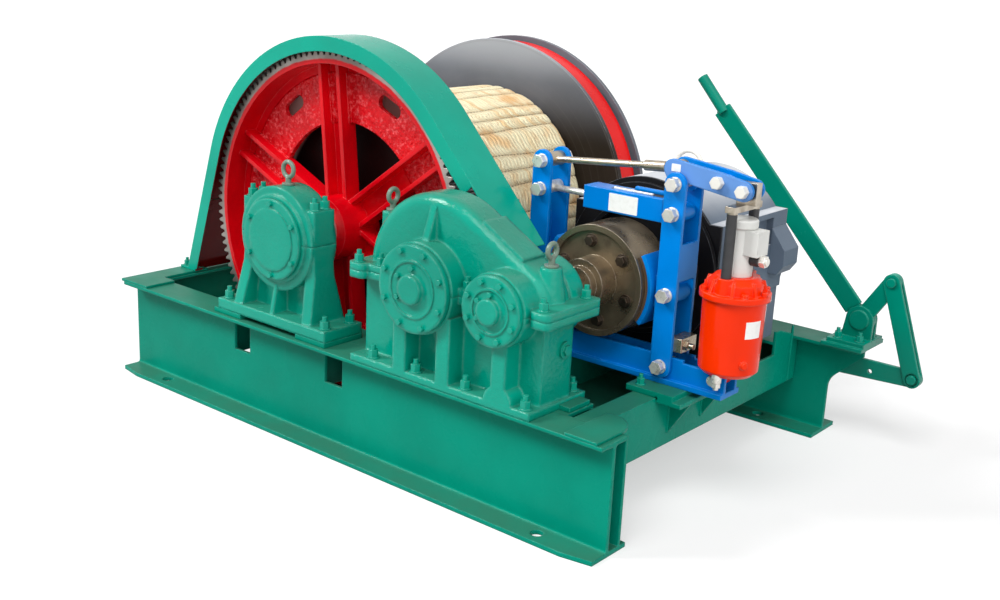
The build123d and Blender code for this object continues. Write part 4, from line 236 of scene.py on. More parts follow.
# Straw plait, counted in bands across and strands along, with the middle of a band or strand
STRAND_SWEEP = 0.45
STRAND_SLANT = 1.9
STRAND_STRAY = 1.6
BAND_PHASE = 12.9
BAND_SHIFT = 7.0
FINE_LINES_TO_A_STRAND = 3.4
FIBRES_TO_A_STRAND = 5.0
STITCHES_TO_A_STRAND = 1.1
MIDDLE = 0.5

# Lamps: width of the source, tilt from overhead and turn about the upright, in degrees
Lamp = namedtuple("Lamp", "width tilt turn")
LAMPS = {"key": Lamp(30, 31, 10), "fill": Lamp(70, 60, 66), "glint": Lamp(17, 52, -50)}

# Floor: half its width and its drop below the winch, in metres, and its finish
FLOOR_REACH = 120.0
FLOOR_DROP = 0.0005
FLOOR_ROUGHNESS = 0.9
FLOOR_SHINE = 0.1

# Camera: width of its sensor in millimetres, and how far it sees in metres
SENSOR_WIDTH = 36.0
VIEW_END = 400.0


def srgb(red, green, blue):
    """Linear colour of an 8-bit screen colour"""
    channels = [value / 255 for value in (red, green, blue)]
    return tuple(c / 12.92 if c <= 0.04045 else ((c + 0.055) / 1.055) ** 2.4 for c in channels)


# Colours without a setting of their own: edges (partly painted highlight), stains, dust, primer, painted
# light, shade and reflections, linings and small pieces
STEEL_STAIN = srgb(150, 140, 128)
PLATING_STAIN = srgb(170, 164, 154)
PLATING_EDGE = srgb(128, 124, 118)
ROD_STEEL = srgb(176, 164, 146)
ROD_STAIN = srgb(130, 116, 98)
WHEEL_STAIN = srgb(110, 94, 78)
WHEEL_EDGE = srgb(228, 222, 214)
COUPLING_STEEL = srgb(84, 74, 64)
COUPLING_STAIN = srgb(48, 38, 30)
EYE_STEEL = srgb(104, 124, 110)
EYE_EDGE = srgb(206, 214, 206)
GUARD_PRIMER = srgb(104, 6, 8)
GEAR_IRON = (srgb(112, 104, 98), srgb(176, 170, 164))
BARREL_PRIMER = srgb(206, 176, 168)
BARREL_EDGE = srgb(226, 204, 196)
# Painted shade on the barrel's flange round the hub
BARREL_PAINTED_SHADE = srgb(22, 7, 7)
# Painted reflections on the drum flange's face: dark brown low down, pale grey high up
FLANGE_DARK_REFLECTION = (srgb(26, 19, 14), srgb(42, 32, 25))
FLANGE_BRIGHT_REFLECTION = srgb(158, 162, 168)
FLANGE_MARK = srgb(130, 126, 124)
FLANGE_EDGE = srgb(196, 196, 198)
RIPE_STRAW = srgb(234, 184, 108)
RUSTY_STRAW = srgb(226, 166, 88)
SHOE_LINING = srgb(92, 74, 58)
BAND_LINING = (srgb(58, 46, 36), srgb(104, 86, 66))
BAND_EDGE = srgb(250, 120, 110)
PLATE_WHITE = (srgb(240, 240, 238), srgb(230, 230, 227))
THRUSTER_EDGE = srgb(255, 168, 140)
CROSSHEAD_STEEL = (srgb(140, 130, 116), srgb(196, 186, 170))
WHITE_EDGE = srgb(245, 245, 242)
MOTOR_EDGE = srgb(186, 196, 206)
# Painted light: pale grey on the motor's level faces
MOTOR_LIT_TOP = srgb(206, 208, 212)


def colour(name, about, default):
    return bpy.props.FloatVectorProperty(
        name=name, description=about, default=default, size=3, subtype="COLOR", min=0.0, max=1.0)


def length(name, about, default):
    return bpy.props.FloatProperty(name=name, description=about, default=default, unit="LENGTH", precision=4)


def fraction(name, about, default):
    return bpy.props.FloatProperty(
        name=name, description=about, default=default, subtype="FACTOR", min=0.0, max=1.0)


def power(name, about, default):
    return bpy.props.FloatProperty(name=name, description=about, default=default, min=0.0)


def angle(name, about, degrees):
    return bpy.props.FloatProperty(name=name, description=about, default=radians(degrees), subtype="ANGLE")


class WinchPaint(bpy.types.PropertyGroup):
    """Colours of the winch's paints and bare materials"""
    green: colour("Green", "Enamel of the welded bed and the hand lever", srgb(0, 133, 111))
    casting: colour("Casting green", "Enamel of the gearbox, pedestals, guard and bolts", srgb(0, 146, 124))
    # Green edge: thin paint on the edges, and a painted highlight along them
    green_edge: colour("Green edge", "Thin paint on the edges of the green pieces", srgb(120, 208, 188))
    green_dust: colour("Green dust", "Green with settled dust on level faces", srgb(50, 104, 84))
    red: colour("Gear red", "Enamel of the bull gear's spider", srgb(224, 2, 20))
    # Gear red edge: thin paint and a painted highlight on the spider's edges; also the pale crust on the web
    red_edge: colour("Gear red edge", "Thin paint on the spider's edges and web", srgb(240, 96, 100))
    band_red: colour("Band red", "Enamel of the brake band", srgb(230, 8, 8))
    blue: colour("Blue", "Enamel of the shoe brake", srgb(0, 124, 212))
    # Blue edge: thin paint on the edges, and a painted highlight along them
    blue_edge: colour("Blue edge", "Thin paint on the blue edges", srgb(110, 190, 245))
    orange: colour("Orange", "Enamel of the thruster's body", srgb(252, 50, 0))
    grey: colour("Motor grey", "Enamel of the motor", srgb(100, 114, 130))
    steel: colour("Bright steel", "Steel of shafts, bearings, pins and bolt heads", srgb(226, 223, 216))
    wheel: colour("Wheel steel", "Oiled steel of the brake wheel", srgb(136, 122, 100))
    dark: colour("Flange steel", "Mill-scaled steel of the drum's flange and barrel", srgb(104, 108, 116))
    straw: colour("Straw", "Lit straw of the drum's matting", srgb(255, 246, 206))
    straw_shade: colour("Straw shade", "Shaded straw between the strands", srgb(206, 146, 74))
    white: colour("White", "Paint of the thruster's motor", srgb(226, 226, 222))
    # Black, darkened, is also the painted shade on the motor's end
    black: colour("Black", "Sleeves of the thruster's rods, rubber and soot", srgb(40, 40, 42))


class WinchMatting(bpy.types.PropertyGroup):
    """Straw matting on the drum"""
    bands: bpy.props.IntProperty(
        name="Bands", description="Plaited bands laid along the drum", default=39, min=8)
    groove: length("Groove", "Depth of the seams between the bands", 0.005)
    wander: fraction("Wander", "How far a seam strays, as a share of a band", 0.16)
    uneven: fraction("Uneven", "How much the bands differ in width, as a share of a band", 0.22)
    strand: length("Strand", "Width of a straw strand in the plait", 0.016)


class WinchFittings(bpy.types.PropertyGroup):
    """Sizes of the small fittings"""
    bead: length("Weld bead", "Half width of a weld bead", 0.0045)
    ripple: length("Weld ripple", "Pitch of a weld bead's ripples", 0.006)
    plate: length("Blank plate", "Thickness of a blank plate", 0.001)
    flats: length("Small bolt", "Width across the flats of the thruster's bolts", 0.014)
    lever_bar: length("Lever bar", "Width of the hand lever's bar", 0.058)


class WinchStage(bpy.types.PropertyGroup):
    """Camera, floor and light"""
    place: bpy.props.FloatVectorProperty(
        name="Camera place", description="Camera's place in the winch's frame",
        default=(2.341, -2.748, 1.390), size=3, subtype="TRANSLATION", unit="LENGTH")
    azimuth: angle("Azimuth", "Camera's turn about the upright", 39.22)
    elevation: angle("Elevation", "How far the camera looks down", 15.39)
    roll: angle("Roll", "Camera's turn about its own axis", 2.65)
    lens: bpy.props.FloatProperty(
        name="Lens", description="Focal length in millimetres", default=43.73, subtype="DISTANCE_CAMERA")
    shift: bpy.props.FloatVectorProperty(
        name="Shift", description="Camera's shift across and up, as a share of its width",
        default=(0.010, -0.020), size=2)
    floor: fraction("Floor", "Brightness of the floor's colour", 0.46)
    glow: power("Floor glow", "Light that the floor adds where it is seen", 0.52)
    key: power("Key light", "Strength of the broad key light", 1.65)
    fill: power("Fill light", "Strength of the fill light", 1.85)
    glint: power("Glint", "Strength of the small lamp that draws the highlights", 2.5)
    sky: power("Sky light", "Strength of the even light", 0.17)


# Node trees

# Colour sockets of the Mix node, which share their names with its other sockets
MIX_FIRST = 6
MIX_SECOND = 7
MIX_RESULT = 2

# Range that most of a noise's values lie in
NOISE_LOW = 0.3
NOISE_HIGH = 0.7


class Tree:
    """Short calls for building a node tree"""

    def __init__(self, tree):
        self.tree = tree

    def add(self, kind, values=None, **settings):
        """Node of a kind, with its sockets set or linked and its settings made"""
        node = self.tree.nodes.new(kind)
        for name, value in settings.items():
            setattr(node, name, value)
        for socket, value in (values or {}).items():
            self.put(node.inputs[socket], value)
        return node

    def put(self, socket, value):
        """Link a socket to another, or set its value"""
        if isinstance(value, bpy.types.NodeSocket):
            self.tree.links.new(value, socket)
        elif socket.type == "RGBA" and len(value) == 3:
            socket.default_value = (*value, 1)
        else:
            socket.default_value = value

    def math(self, operation, *values, clamp=False):
        node = self.add("ShaderNodeMath", dict(enumerate(values)), operation=operation, use_clamp=clamp)
        return node.outputs["Value"]

    def plus(self, first, second):
        return self.math("ADD", first, second)

    def times(self, first, second):
        return self.math("MULTIPLY", first, second)

    def vector(self, operation, *values):
        node = self.add("ShaderNodeVectorMath", dict(enumerate(values)), operation=operation)
        return node.outputs["Value" if operation == "DOT_PRODUCT" else "Vector"]

    def mix(self, factor, first, second):
        """Blend of two colours"""
        node = self.add("ShaderNodeMix", {"Factor": factor}, data_type="RGBA")
        self.put(node.inputs[MIX_FIRST], first)
        self.put(node.inputs[MIX_SECOND], second)
        return node.outputs[MIX_RESULT]

    def tint(self, tone, other, mask, amount):
        """A tone that takes an amount of another where the mask is"""
        return self.mix(self.times(mask, amount), tone, other)

    def span(self, value, low, high, start=0.0, end=1.0):
        """Value eased from one range to another, held at the ends"""
        ranges = {"Value": value, "From Min": low, "From Max": high, "To Min": start, "To Max": end}
        return self.add("ShaderNodeMapRange", ranges, interpolation_type="SMOOTHSTEP").outputs["Result"]

    def past(self, place, origin, ends):
        """Mask that rises between two places measured from an origin"""
        return self.span(place, *(origin + end for end in ends))

    def noise(self, place, scale, detail=3.0, roughness=0.55):
        values = {"Vector": place, "Scale": scale, "Detail": detail, "Roughness": roughness}
        return self.add("ShaderNodeTexNoise", values).outputs["Fac"]

    def place(self):
        """Object coordinates, in metres"""
        return self.add("ShaderNodeTexCoord").outputs["Object"]

    def facing(self):
        """Normal in object coordinates"""
        return self.add("ShaderNodeTexCoord").outputs["Normal"]

    def parts(self, vector):
        """X, Y and Z of a vector"""
        return self.add("ShaderNodeSeparateXYZ", {"Vector": vector}).outputs

    def joined(self, **numbers):
        """Vector of its X, Y and Z"""
        return self.add("ShaderNodeCombineXYZ", numbers).outputs["Vector"]

    def bump(self, height, depth, strength=1.0, normal=None):
        """Normal of a surface that a height raises"""
        node = self.add("ShaderNodeBump", {"Strength": strength, "Distance": depth, "Height": height})
        if normal is not None:
            self.put(node.inputs["Normal"], normal)
        return node.outputs["Normal"]

    def seen(self):
        """Where a ray comes from the camera, straight, by a reflection or through glass"""
        ray = self.add("ShaderNodeLightPath").outputs
        indirect = self.math("MAXIMUM", ray["Is Glossy Ray"], ray["Is Transmission Ray"])
        return self.math("MAXIMUM", ray["Is Camera Ray"], indirect)

    def effect(self, name, **values):
        """A shared effect, with its own values"""
        group = bpy.data.node_groups.get(name) or EFFECTS[name](name)
        return self.add("ShaderNodeGroup", values, node_tree=group).outputs

    def drift(self, scale):
        return self.effect("Tone Drift", Scale=scale)["Value"]

    def rings(self, axis, pitch=0.0012):
        """Radius from an axis along Y, and turning marks about it"""
        return self.effect("Turned Rings", X=axis[0], Z=axis[2], Pitch=pitch)


def shared_group(name, inputs, outputs):
    """New node group with named sockets, and its tree"""
    group = bpy.data.node_groups.new(name, "ShaderNodeTree")
    for label, default in inputs.items():
        socket = group.interface.new_socket(label, in_out="INPUT", socket_type="NodeSocketFloat")
        socket.default_value = default
    for label, kind in outputs.items():
        group.interface.new_socket(label, in_out="OUTPUT", socket_type=kind)
    tree = Tree(group)
    return group, tree, tree.add("NodeGroupInput").outputs, tree.add("NodeGroupOutput").inputs


def edge_tint_and_rounding(name):
    """Patchy mask of the edges, and the normal that rounds them"""
    group, tree, given, result = shared_group(
        name, {"Radius": 0.004, "Patchiness": 0.85},
        {"Mask": "NodeSocketFloat", "Normal": "NodeSocketVector"})
    rounded = tree.add("ShaderNodeBevel", {"Radius": given["Radius"]}, samples=6).outputs["Normal"]
    flat = tree.add("ShaderNodeNewGeometry").outputs["Normal"]
    bend = tree.math("SUBTRACT", 1.0, tree.vector("DOT_PRODUCT", rounded, flat))
    sharp = tree.span(bend, 0.08, 0.24)
    patches = tree.span(tree.noise(tree.place(), scale=28.0, detail=4.0), 0.35, 0.62)
    kept = tree.math("SUBTRACT", 1.0, tree.times(given["Patchiness"], patches))
    tree.put(result["Mask"], tree.math("MULTIPLY", sharp, kept, clamp=True))
    tree.put(result["Normal"], rounded)
    return group


def level_dust_and_lit_tops(name):
    """Uneven mask of the level faces"""
    group, tree, given, result = shared_group(
        name, {"Amount": 0.8, "Scale": 6.0}, {"Mask": "NodeSocketFloat"})
    level = tree.span(tree.parts(tree.facing())["Z"], 0.55, 0.98)
    drift = tree.span(tree.noise(tree.place(), given["Scale"], detail=5.0), 0.25, 0.7, start=0.55)
    tree.put(result["Mask"], tree.times(tree.times(level, drift), given["Amount"]))
    return group


def cast_grain(name):
    """Height of a casting's skin, fine grain on broad lumps"""
    group, tree, given, result = shared_group(
        name, {"Scale": 220.0, "Lumps": 0.4}, {"Height": "NodeSocketFloat"})
    lump_scale = 0.12
    place = tree.place()
    fine = tree.noise(place, given["Scale"], detail=2.0)
    lumps = tree.noise(place, tree.times(given["Scale"], lump_scale))
    tree.put(result["Height"], tree.plus(fine, tree.times(lumps, given["Lumps"])))
    return group


def tone_drift(name):
    """Slow change of tone over a surface"""
    group, tree, given, result = shared_group(name, {"Scale": 3.0}, {"Value": "NodeSocketFloat"})
    drift = tree.noise(tree.place(), given["Scale"], detail=4.0)
    tree.put(result["Value"], tree.span(drift, NOISE_LOW, NOISE_HIGH))
    return group


def turned_rings(name):
    """Radius from an axis along Y, and the height of turning marks about it"""
    group, tree, given, result = shared_group(
        name, {"X": 0.0, "Z": 0.0, "Pitch": 0.0012},
        {"Radius": "NodeSocketFloat", "Height": "NodeSocketFloat"})
    marks_along = 60.0
    place = tree.parts(tree.place())
    across = tree.math("SUBTRACT", place["X"], given["X"])
    up = tree.math("SUBTRACT", place["Z"], given["Z"])
    radius = tree.math("SQRT", tree.plus(tree.times(across, across), tree.times(up, up)))
    lines = tree.joined(X=tree.math("DIVIDE", radius, given["Pitch"]), Y=tree.times(place["Y"], marks_along))
    tree.put(result["Radius"], radius)
    tree.put(result["Height"], tree.noise(lines, scale=0.6))
    return group


EFFECTS = {"Edge Wear": edge_tint_and_rounding, "Settled Dust": level_dust_and_lit_tops, "Cast Grain": cast_grain,
           "Tone Drift": tone_drift, "Turned Rings": turned_rings}


# Materials

# How enamel and bare metal stray from their colour and roughness, and how much their effects show
ENAMEL_TONES = (0.86, 1.08)
ENAMEL_SMOOTHER = 0.06
ENAMEL_ROUGHER = 0.08
# Share of the pale edge colour, which is partly wear and partly painted highlight
ENAMEL_EDGE = 0.3
DUST_ROUGHNESS = 0.16
METAL_TONES = (0.82, 1.1)
METAL_SMOOTHER = 0.07
METAL_ROUGHER = 0.09
METAL_STAIN = 0.6
METAL_EDGE = 0.5
METAL_EDGE_TONE = 1.4
METAL_MARK = 0.22
METAL_MARK_TONE = 0.55


def new_material(name):
    """Empty material, its tree and its shader's sockets"""
    material = bpy.data.materials.new(name)
    material.use_nodes = True
    tree = Tree(material.node_tree)
    return material, tree, material.node_tree.nodes["Principled BSDF"].inputs


def shade(tone, factor):
    return tuple(min(1.0, factor * channel) for channel in tone)


def shades(tone, factors):
    """Darker and lighter ends of a tone's drift"""
    return [shade(tone, factor) for factor in factors]


def enamel(name, body, edge, dust=None, rough=0.3, grain=0.0, grain_scale=220.0, lumps=0.4, wear=0.004,
           dust_and_lit_top_amount=0.8, patch=None, shine=0.06):
    """Brushed-on enamel: drifting tone, pale edges that are partly wear and partly painted highlight, a
    level-face colour that is settled dust on some pieces and painted light on others, and the skin of what is
    under it
    """
    material, tree, shader = new_material(name)
    tone = tree.mix(tree.drift(2.6), *shades(body, ENAMEL_TONES))
    brushing = tree.noise(tree.place(), scale=11.0, detail=4.0)
    gloss = tree.span(brushing, NOISE_LOW, NOISE_HIGH, rough - ENAMEL_SMOOTHER, rough + ENAMEL_ROUGHER)
    if dust is not None:
        # Level faces take the dust colour: settled dust on most pieces, painted light where it is a lighter
        # copy of the paint
        settled = tree.effect("Settled Dust", Amount=dust_and_lit_top_amount)["Mask"]
        tone = tree.mix(settled, tone, dust)
        gloss = tree.plus(gloss, tree.times(settled, DUST_ROUGHNESS))
    if patch is not None:
        tone = patch(tree, tone)
    edge_tint = tree.effect("Edge Wear", Radius=wear)
    # Pale edges: partly wear, partly painted highlight along rounded edges
    tree.put(shader["Base Color"], tree.tint(tone, edge, edge_tint["Mask"], ENAMEL_EDGE))
    tree.put(shader["Roughness"], gloss)
    normal = edge_tint["Normal"]
    if grain > 0:
        skin = tree.effect("Cast Grain", Scale=grain_scale, Lumps=lumps)["Height"]
        normal = tree.bump(skin, grain, normal=normal)
    tree.put(shader["Normal"], normal)
    shader["Specular IOR Level"].default_value = shine
    return material


def bare_metal(name, tone, rough, stain, axis=None, pitch=0.0012, edge=None, metallic=0.9):
    """Bare metal with stains, turning marks about an axis along Y, and edges of another tone"""
    material, tree, shader = new_material(name)
    drift = tree.drift(9.0)
    surface = tree.mix(drift, *shades(tone, METAL_TONES))
    spots = tree.span(tree.noise(tree.place(), scale=34.0, detail=5.0), 0.5, 0.72)
    surface = tree.tint(surface, stain, spots, METAL_STAIN)
    edge_tint = tree.effect("Edge Wear", Radius=0.002)
    surface = tree.tint(surface, edge or shade(tone, METAL_EDGE_TONE), edge_tint["Mask"], METAL_EDGE)
    normal = edge_tint["Normal"]
    if axis is not None:
        marks = tree.rings(axis, pitch)["Height"]
        normal = tree.bump(marks, depth=0.0004, strength=0.35, normal=normal)
        marked = tree.span(marks, NOISE_LOW, NOISE_HIGH, end=METAL_MARK)
        surface = tree.mix(marked, surface, shade(tone, METAL_MARK_TONE))
    tree.put(shader["Base Color"], surface)
    tree.put(shader["Roughness"], tree.span(drift, 0.0, 1.0, rough - METAL_SMOOTHER, rough + METAL_ROUGHER))
    tree.put(shader["Normal"], normal)
    shader["Metallic"].default_value = metallic
    return material


def bright_steel(paint):
    return bare_metal("bright steel", paint.steel, 0.3, STEEL_STAIN)


def plated_steel(paint):
    return bare_metal("plated steel", paint.steel, 0.28, PLATING_STAIN, edge=PLATING_EDGE, metallic=0.5)


def rod_steel():
    return bare_metal("rod steel", ROD_STEEL, 0.3, ROD_STAIN, metallic=0.85)


def wheel_steel(paint):
    return bare_metal("brake wheel steel", paint.wheel, 0.3, WHEEL_STAIN, WHEEL_AXIS, pitch=0.0016,
                      edge=WHEEL_EDGE, metallic=0.75)


def coupling_steel():
    return bare_metal("coupling steel", COUPLING_STEEL, 0.4, COUPLING_STAIN)


def green_plate(paint):
    return enamel("green plate", paint.green, paint.green_edge, paint.green_dust, rough=0.26, wear=0.006)


def green_casting(paint):
    return enamel("green casting", paint.casting, paint.green_edge, shade(paint.green_dust, 1.3), rough=0.15,
                  grain=0.0012, grain_scale=90.0, lumps=0.9, wear=0.013, dust_and_lit_top_amount=0.6, shine=0.2)


def green_fixing(paint):
    return enamel("green fixing", paint.casting, paint.green_edge, paint.green_dust, rough=0.16, grain=0.0004,
                  wear=0.0022, dust_and_lit_top_amount=0.35, shine=0.25)


def guard_enamel(paint):
    """Guard: green outside, lighter than the castings as a painted highlight, red-brown primer on the side
    towards the gear
    """
    def primed(tree, tone):
        place = tree.vector("SUBTRACT", tree.place(), (DRUM_AXIS[0], 0.0, DRUM_AXIS[2]))
        outward = tree.vector("NORMALIZE", tree.vector("MULTIPLY", place, (1.0, 0.0, 1.0)))
        outside = tree.vector("DOT_PRODUCT", tree.facing(), outward)
        return tree.mix(tree.span(outside, *PRIMED_SIDE), tone, GUARD_PRIMER)
    # A lighter copy of the casting green: painted highlight over the guard
    return enamel("guard enamel", shade(paint.casting, 1.2), paint.green_edge, paint.green_dust, rough=0.2,
                  dust_and_lit_top_amount=0.12, patch=primed, shine=0.16)


def lever_enamel(paint):
    # On level faces the lever takes a lighter casting green: painted light on its tops
    return enamel("lever enamel", paint.green, paint.green_edge, shade(paint.casting, 1.2), rough=0.2,
                  wear=0.006, dust_and_lit_top_amount=0.5, shine=0.16)


def eye_steel(paint):
    """Eyes: dull greenish steel at the front, bright steel on the motor"""
    def bright(tree, tone):
        y = tree.parts(tree.place())["Y"]
        return tree.mix(tree.span(y, *MOTOR_EYE_START), tone, paint.steel)
    return enamel("eye steel", EYE_STEEL, EYE_EDGE, rough=0.28, wear=0.003, grain=0.0003, shine=0.4,
                  patch=bright)


def gear_casting(paint):
    """Bull gear: red spider with a rough web, and bare teeth with a ragged edge of paint"""
    material, tree, shader = new_material("bull gear casting")
    place = tree.place()
    radius = tree.rings(DRUM_AXIS)["Radius"]
    deep = tree.past(tree.parts(place)["Y"], GEAR_FRONT, GEAR_WEB_DEPTH)
    ring = tree.times(tree.span(radius, *GEAR_WEB_INNER), tree.span(radius, *GEAR_WEB_OUTER))
    web = tree.times(deep, ring)
    drift = tree.drift(4.0)
    red = tree.mix(drift, *shades(paint.red, (0.7, 1.0)))
    crust = tree.noise(place, scale=80.0, detail=4.0, roughness=0.65)
    pale = tree.times(tree.span(crust, 0.5, 0.68), web)
    red = tree.tint(red, paint.red_edge, pale, amount=0.75)
    edge_tint = tree.effect("Edge Wear", Radius=0.004)
    # Pale red on the edges: partly thin paint, partly painted highlight
    red = tree.tint(red, paint.red_edge, edge_tint["Mask"], amount=0.35)
    stray = tree.span(tree.noise(place, scale=40.0), 0.2, 0.8, -GEAR_RAGGED, GEAR_RAGGED)
    bare = tree.span(tree.plus(radius, stray), *GEAR_TEETH)
    tree.put(shader["Base Color"], tree.mix(bare, red, tree.mix(drift, *GEAR_IRON)))
    tree.put(shader["Metallic"], tree.times(bare, 0.85))
    tree.put(shader["Roughness"], tree.span(bare, 0.0, 1.0, 0.2, 0.42))
    skin = tree.effect("Cast Grain", Scale=85.0, Lumps=0.5)["Height"]
    skin = tree.times(skin, tree.span(web, 0.0, 1.0, start=0.16))
    tree.put(shader["Normal"], tree.bump(skin, depth=0.006, normal=edge_tint["Normal"]))
    shader["Specular IOR Level"].default_value = 0.2
    return material


def barrel_paint(paint):
    """Drum barrel: primed flange towards the bull gear, painted shade round the hub behind the gear's spokes,
    bare barrel behind it
    """
    def bare_and_painted_shade(tree, tone):
        radius = tree.rings(DRUM_AXIS)["Radius"]
        # Painted shade: near-black round the hub, where the flange lies in shade behind the bull gear's
        # spokes
        tone = tree.mix(tree.span(radius, *BARREL_HUB), tone, BARREL_PAINTED_SHADE)
        y = tree.parts(tree.place())["Y"]
        return tree.mix(tree.span(y, *BARREL_START), tone, paint.dark)
    return enamel("drum barrel paint", BARREL_PRIMER, BARREL_EDGE, rough=0.4, grain=0.0006,
                  patch=bare_and_painted_shade)


def flange_steel(paint):
    """Mill-scaled flange with faint turning marks, a painted reflection that is pale at the top and browner
    towards its lower side, and a grey outer plate
    """
    material, tree, shader = new_material("drum flange steel")
    place = tree.parts(tree.place())
    drift = tree.drift(3.2)
    grey = tree.mix(drift, *shades(paint.dark, (0.85, 1.12)))
    brown = tree.mix(drift, *FLANGE_DARK_REFLECTION)
    # Painted reflection: pale grey high on the face, where it mirrors bright surroundings, and dark brown low
    # down, where it mirrors the darker drum
    tone = tree.mix(tree.past(place["Z"], DRUM_AXIS[2], FLANGE_BRIGHT_REFLECTION_HEIGHT), grey, FLANGE_BRIGHT_REFLECTION)
    tone = tree.mix(tree.past(place["Z"], DRUM_AXIS[2], FLANGE_DARK_REFLECTION_HEIGHT), tone, brown)
    tone = tree.mix(tree.past(place["Y"], FLANGE_BACK, FLANGE_OUTER_PLATE), tone, grey)
    marks = tree.rings(DRUM_AXIS, pitch=0.006)["Height"]
    tone = tree.mix(tree.span(marks, 0.55, 0.75, end=0.25), tone, FLANGE_MARK)
    edge_tint = tree.effect("Edge Wear", Radius=0.003)
    tree.put(shader["Base Color"], tree.tint(tone, FLANGE_EDGE, edge_tint["Mask"], amount=0.8))
    tree.put(shader["Roughness"], tree.span(drift, 0.0, 1.0, 0.42, 0.56))
    tree.put(shader["Normal"], tree.bump(marks, depth=0.0006, strength=0.3, normal=edge_tint["Normal"]))
    shader["Metallic"].default_value = 0.2
    shader["Specular IOR Level"].default_value = 0.25
    return material


def strand_lean(tree, along, across, band, sweep):
    """Place counted in strands, along lines that sweep and slant across a band and stray a little"""
    shift = tree.times(tree.math("SINE", tree.times(band, BAND_PHASE)), BAND_SHIFT)
    stray = tree.times(tree.noise(tree.place(), scale=18.0), STRAND_STRAY)
    lean = along
    for part in (tree.times(sweep, STRAND_SWEEP), tree.times(across, STRAND_SLANT), shift, stray):
        lean = tree.plus(lean, part)
    return lean


def straw_plait(paint):
    """Plaited straw: strands that sweep across each band, fine fibres in them, stitched seams between"""
    material, tree, shader = new_material("straw plait")
    plait = tree.parts(tree.add("ShaderNodeUVMap", uv_map="plait").outputs["UV"])
    across = tree.math("FRACT", plait["X"])
    band = tree.math("FLOOR", plait["X"])
    sweep = tree.math("SINE", tree.times(across, 2 * pi))
    lean = strand_lean(tree, plait["Y"], across, band, sweep)
    strand = tree.math("PINGPONG", lean, MIDDLE)
    fine = tree.math("PINGPONG", tree.plus(tree.times(lean, FINE_LINES_TO_A_STRAND), sweep), MIDDLE)
    thread = tree.joined(X=tree.times(lean, FIBRES_TO_A_STRAND), Y=plait["X"], Z=band)
    fibres = tree.noise(thread, scale=1.0, detail=5.0, roughness=0.65)
    one_strand = tree.joined(X=tree.math("FLOOR", lean), Y=band)
    ripeness = tree.add("ShaderNodeTexWhiteNoise", {"Vector": one_strand}).outputs["Value"]
    edge = tree.math("PINGPONG", across, MIDDLE)
    stitch = tree.math("PINGPONG", tree.times(plait["Y"], STITCHES_TO_A_STRAND), MIDDLE)
    seam = tree.times(tree.span(edge, 0.005, 0.045, 1.0, 0.0), tree.span(stitch, 0.1, 0.4, start=0.3))
    tone = tree.mix(tree.span(fibres, 0.28, 0.6), shade(paint.straw, 0.86), paint.straw)
    tone = tree.mix(tree.span(ripeness, 0.6, 1.0, end=0.6), tone, RIPE_STRAW)
    patches = tree.span(tree.noise(tree.place(), scale=7.0, detail=4.0), 0.48, 0.66, end=0.75)
    tone = tree.mix(patches, tone, RUSTY_STRAW)
    flecks = tree.span(tree.noise(thread, scale=1.7, detail=4.0, roughness=0.6), 0.58, 0.66)
    tone = tree.tint(tone, paint.straw_shade, tree.span(fine, 0.0, 0.12, 1.0, 0.0), amount=0.26)
    tone = tree.tint(tone, paint.straw_shade, tree.span(strand, 0.0, 0.16, 1.0, 0.0), amount=0.3)
    tone = tree.tint(tone, shade(paint.straw_shade, 0.55), flecks, amount=0.75)
    tone = tree.tint(tone, paint.straw_shade, tree.span(edge, 0.0, 0.2, 1.0, 0.0), amount=0.16)
    tone = tree.tint(tone, shade(paint.straw_shade, 0.3), seam, amount=0.7)
    tree.put(shader["Base Color"], tone)
    tree.put(shader["Roughness"], tree.span(fibres, 0.0, 1.0, 0.42, 0.7))
    fine_relief = tree.times(tree.span(fine, 0.0, MIDDLE), 0.35)
    relief = tree.plus(tree.span(strand, 0.0, MIDDLE), fine_relief)
    relief = tree.plus(relief, tree.times(fibres, 0.4))
    tree.put(shader["Normal"], tree.bump(tree.math("SUBTRACT", relief, seam), depth=0.003))
    shader["Sheen Weight"].default_value = 0.1
    return material


def shoe_paint(paint):
    """Blue shoe with a brown lining on its inner face"""
    def lining(tree, tone):
        radius = tree.rings(WHEEL_AXIS)["Radius"]
        return tree.mix(tree.span(radius, *SHOE_LINING_RADIUS), tone, SHOE_LINING)
    return enamel("blue shoe", paint.blue, paint.blue_edge, rough=0.3, wear=0.003, grain=0.0005, patch=lining)


def blue_enamel(paint, name="blue enamel", patch=None):
    # On level faces the blue takes a lighter copy of itself: painted light on the tops of the blue pieces
    return enamel(name, paint.blue, paint.blue_edge, shade(paint.blue, 1.15), rough=0.2, wear=0.005,
                  dust_and_lit_top_amount=0.3, patch=patch, shine=0.14)


def release_lever_finish(paint):
    """Blue lever with plated bolt heads standing out of its two faces"""
    def plated_heads(tree, tone):
        y = tree.parts(tree.place())["Y"]
        front = tree.past(y, RELEASE_LEVER_FRONT, RELEASE_LEVER_FRONT_HEADS)
        back = tree.past(y, RELEASE_LEVER_BACK, RELEASE_LEVER_BACK_HEADS)
        return tree.mix(tree.math("MAXIMUM", front, back), tone, paint.steel)
    return blue_enamel(paint, "release lever finish", plated_heads)


def plate_white():
    """Blank plate: bare white with a faint grime"""
    material, tree, shader = new_material("plate white")
    grime = tree.span(tree.noise(tree.place(), scale=60.0, detail=4.0), 0.45, 0.75)
    tree.put(shader["Base Color"], tree.mix(grime, *PLATE_WHITE))
    tree.put(shader["Roughness"], tree.span(grime, 0.0, 1.0, 0.35, 0.5))
    return material


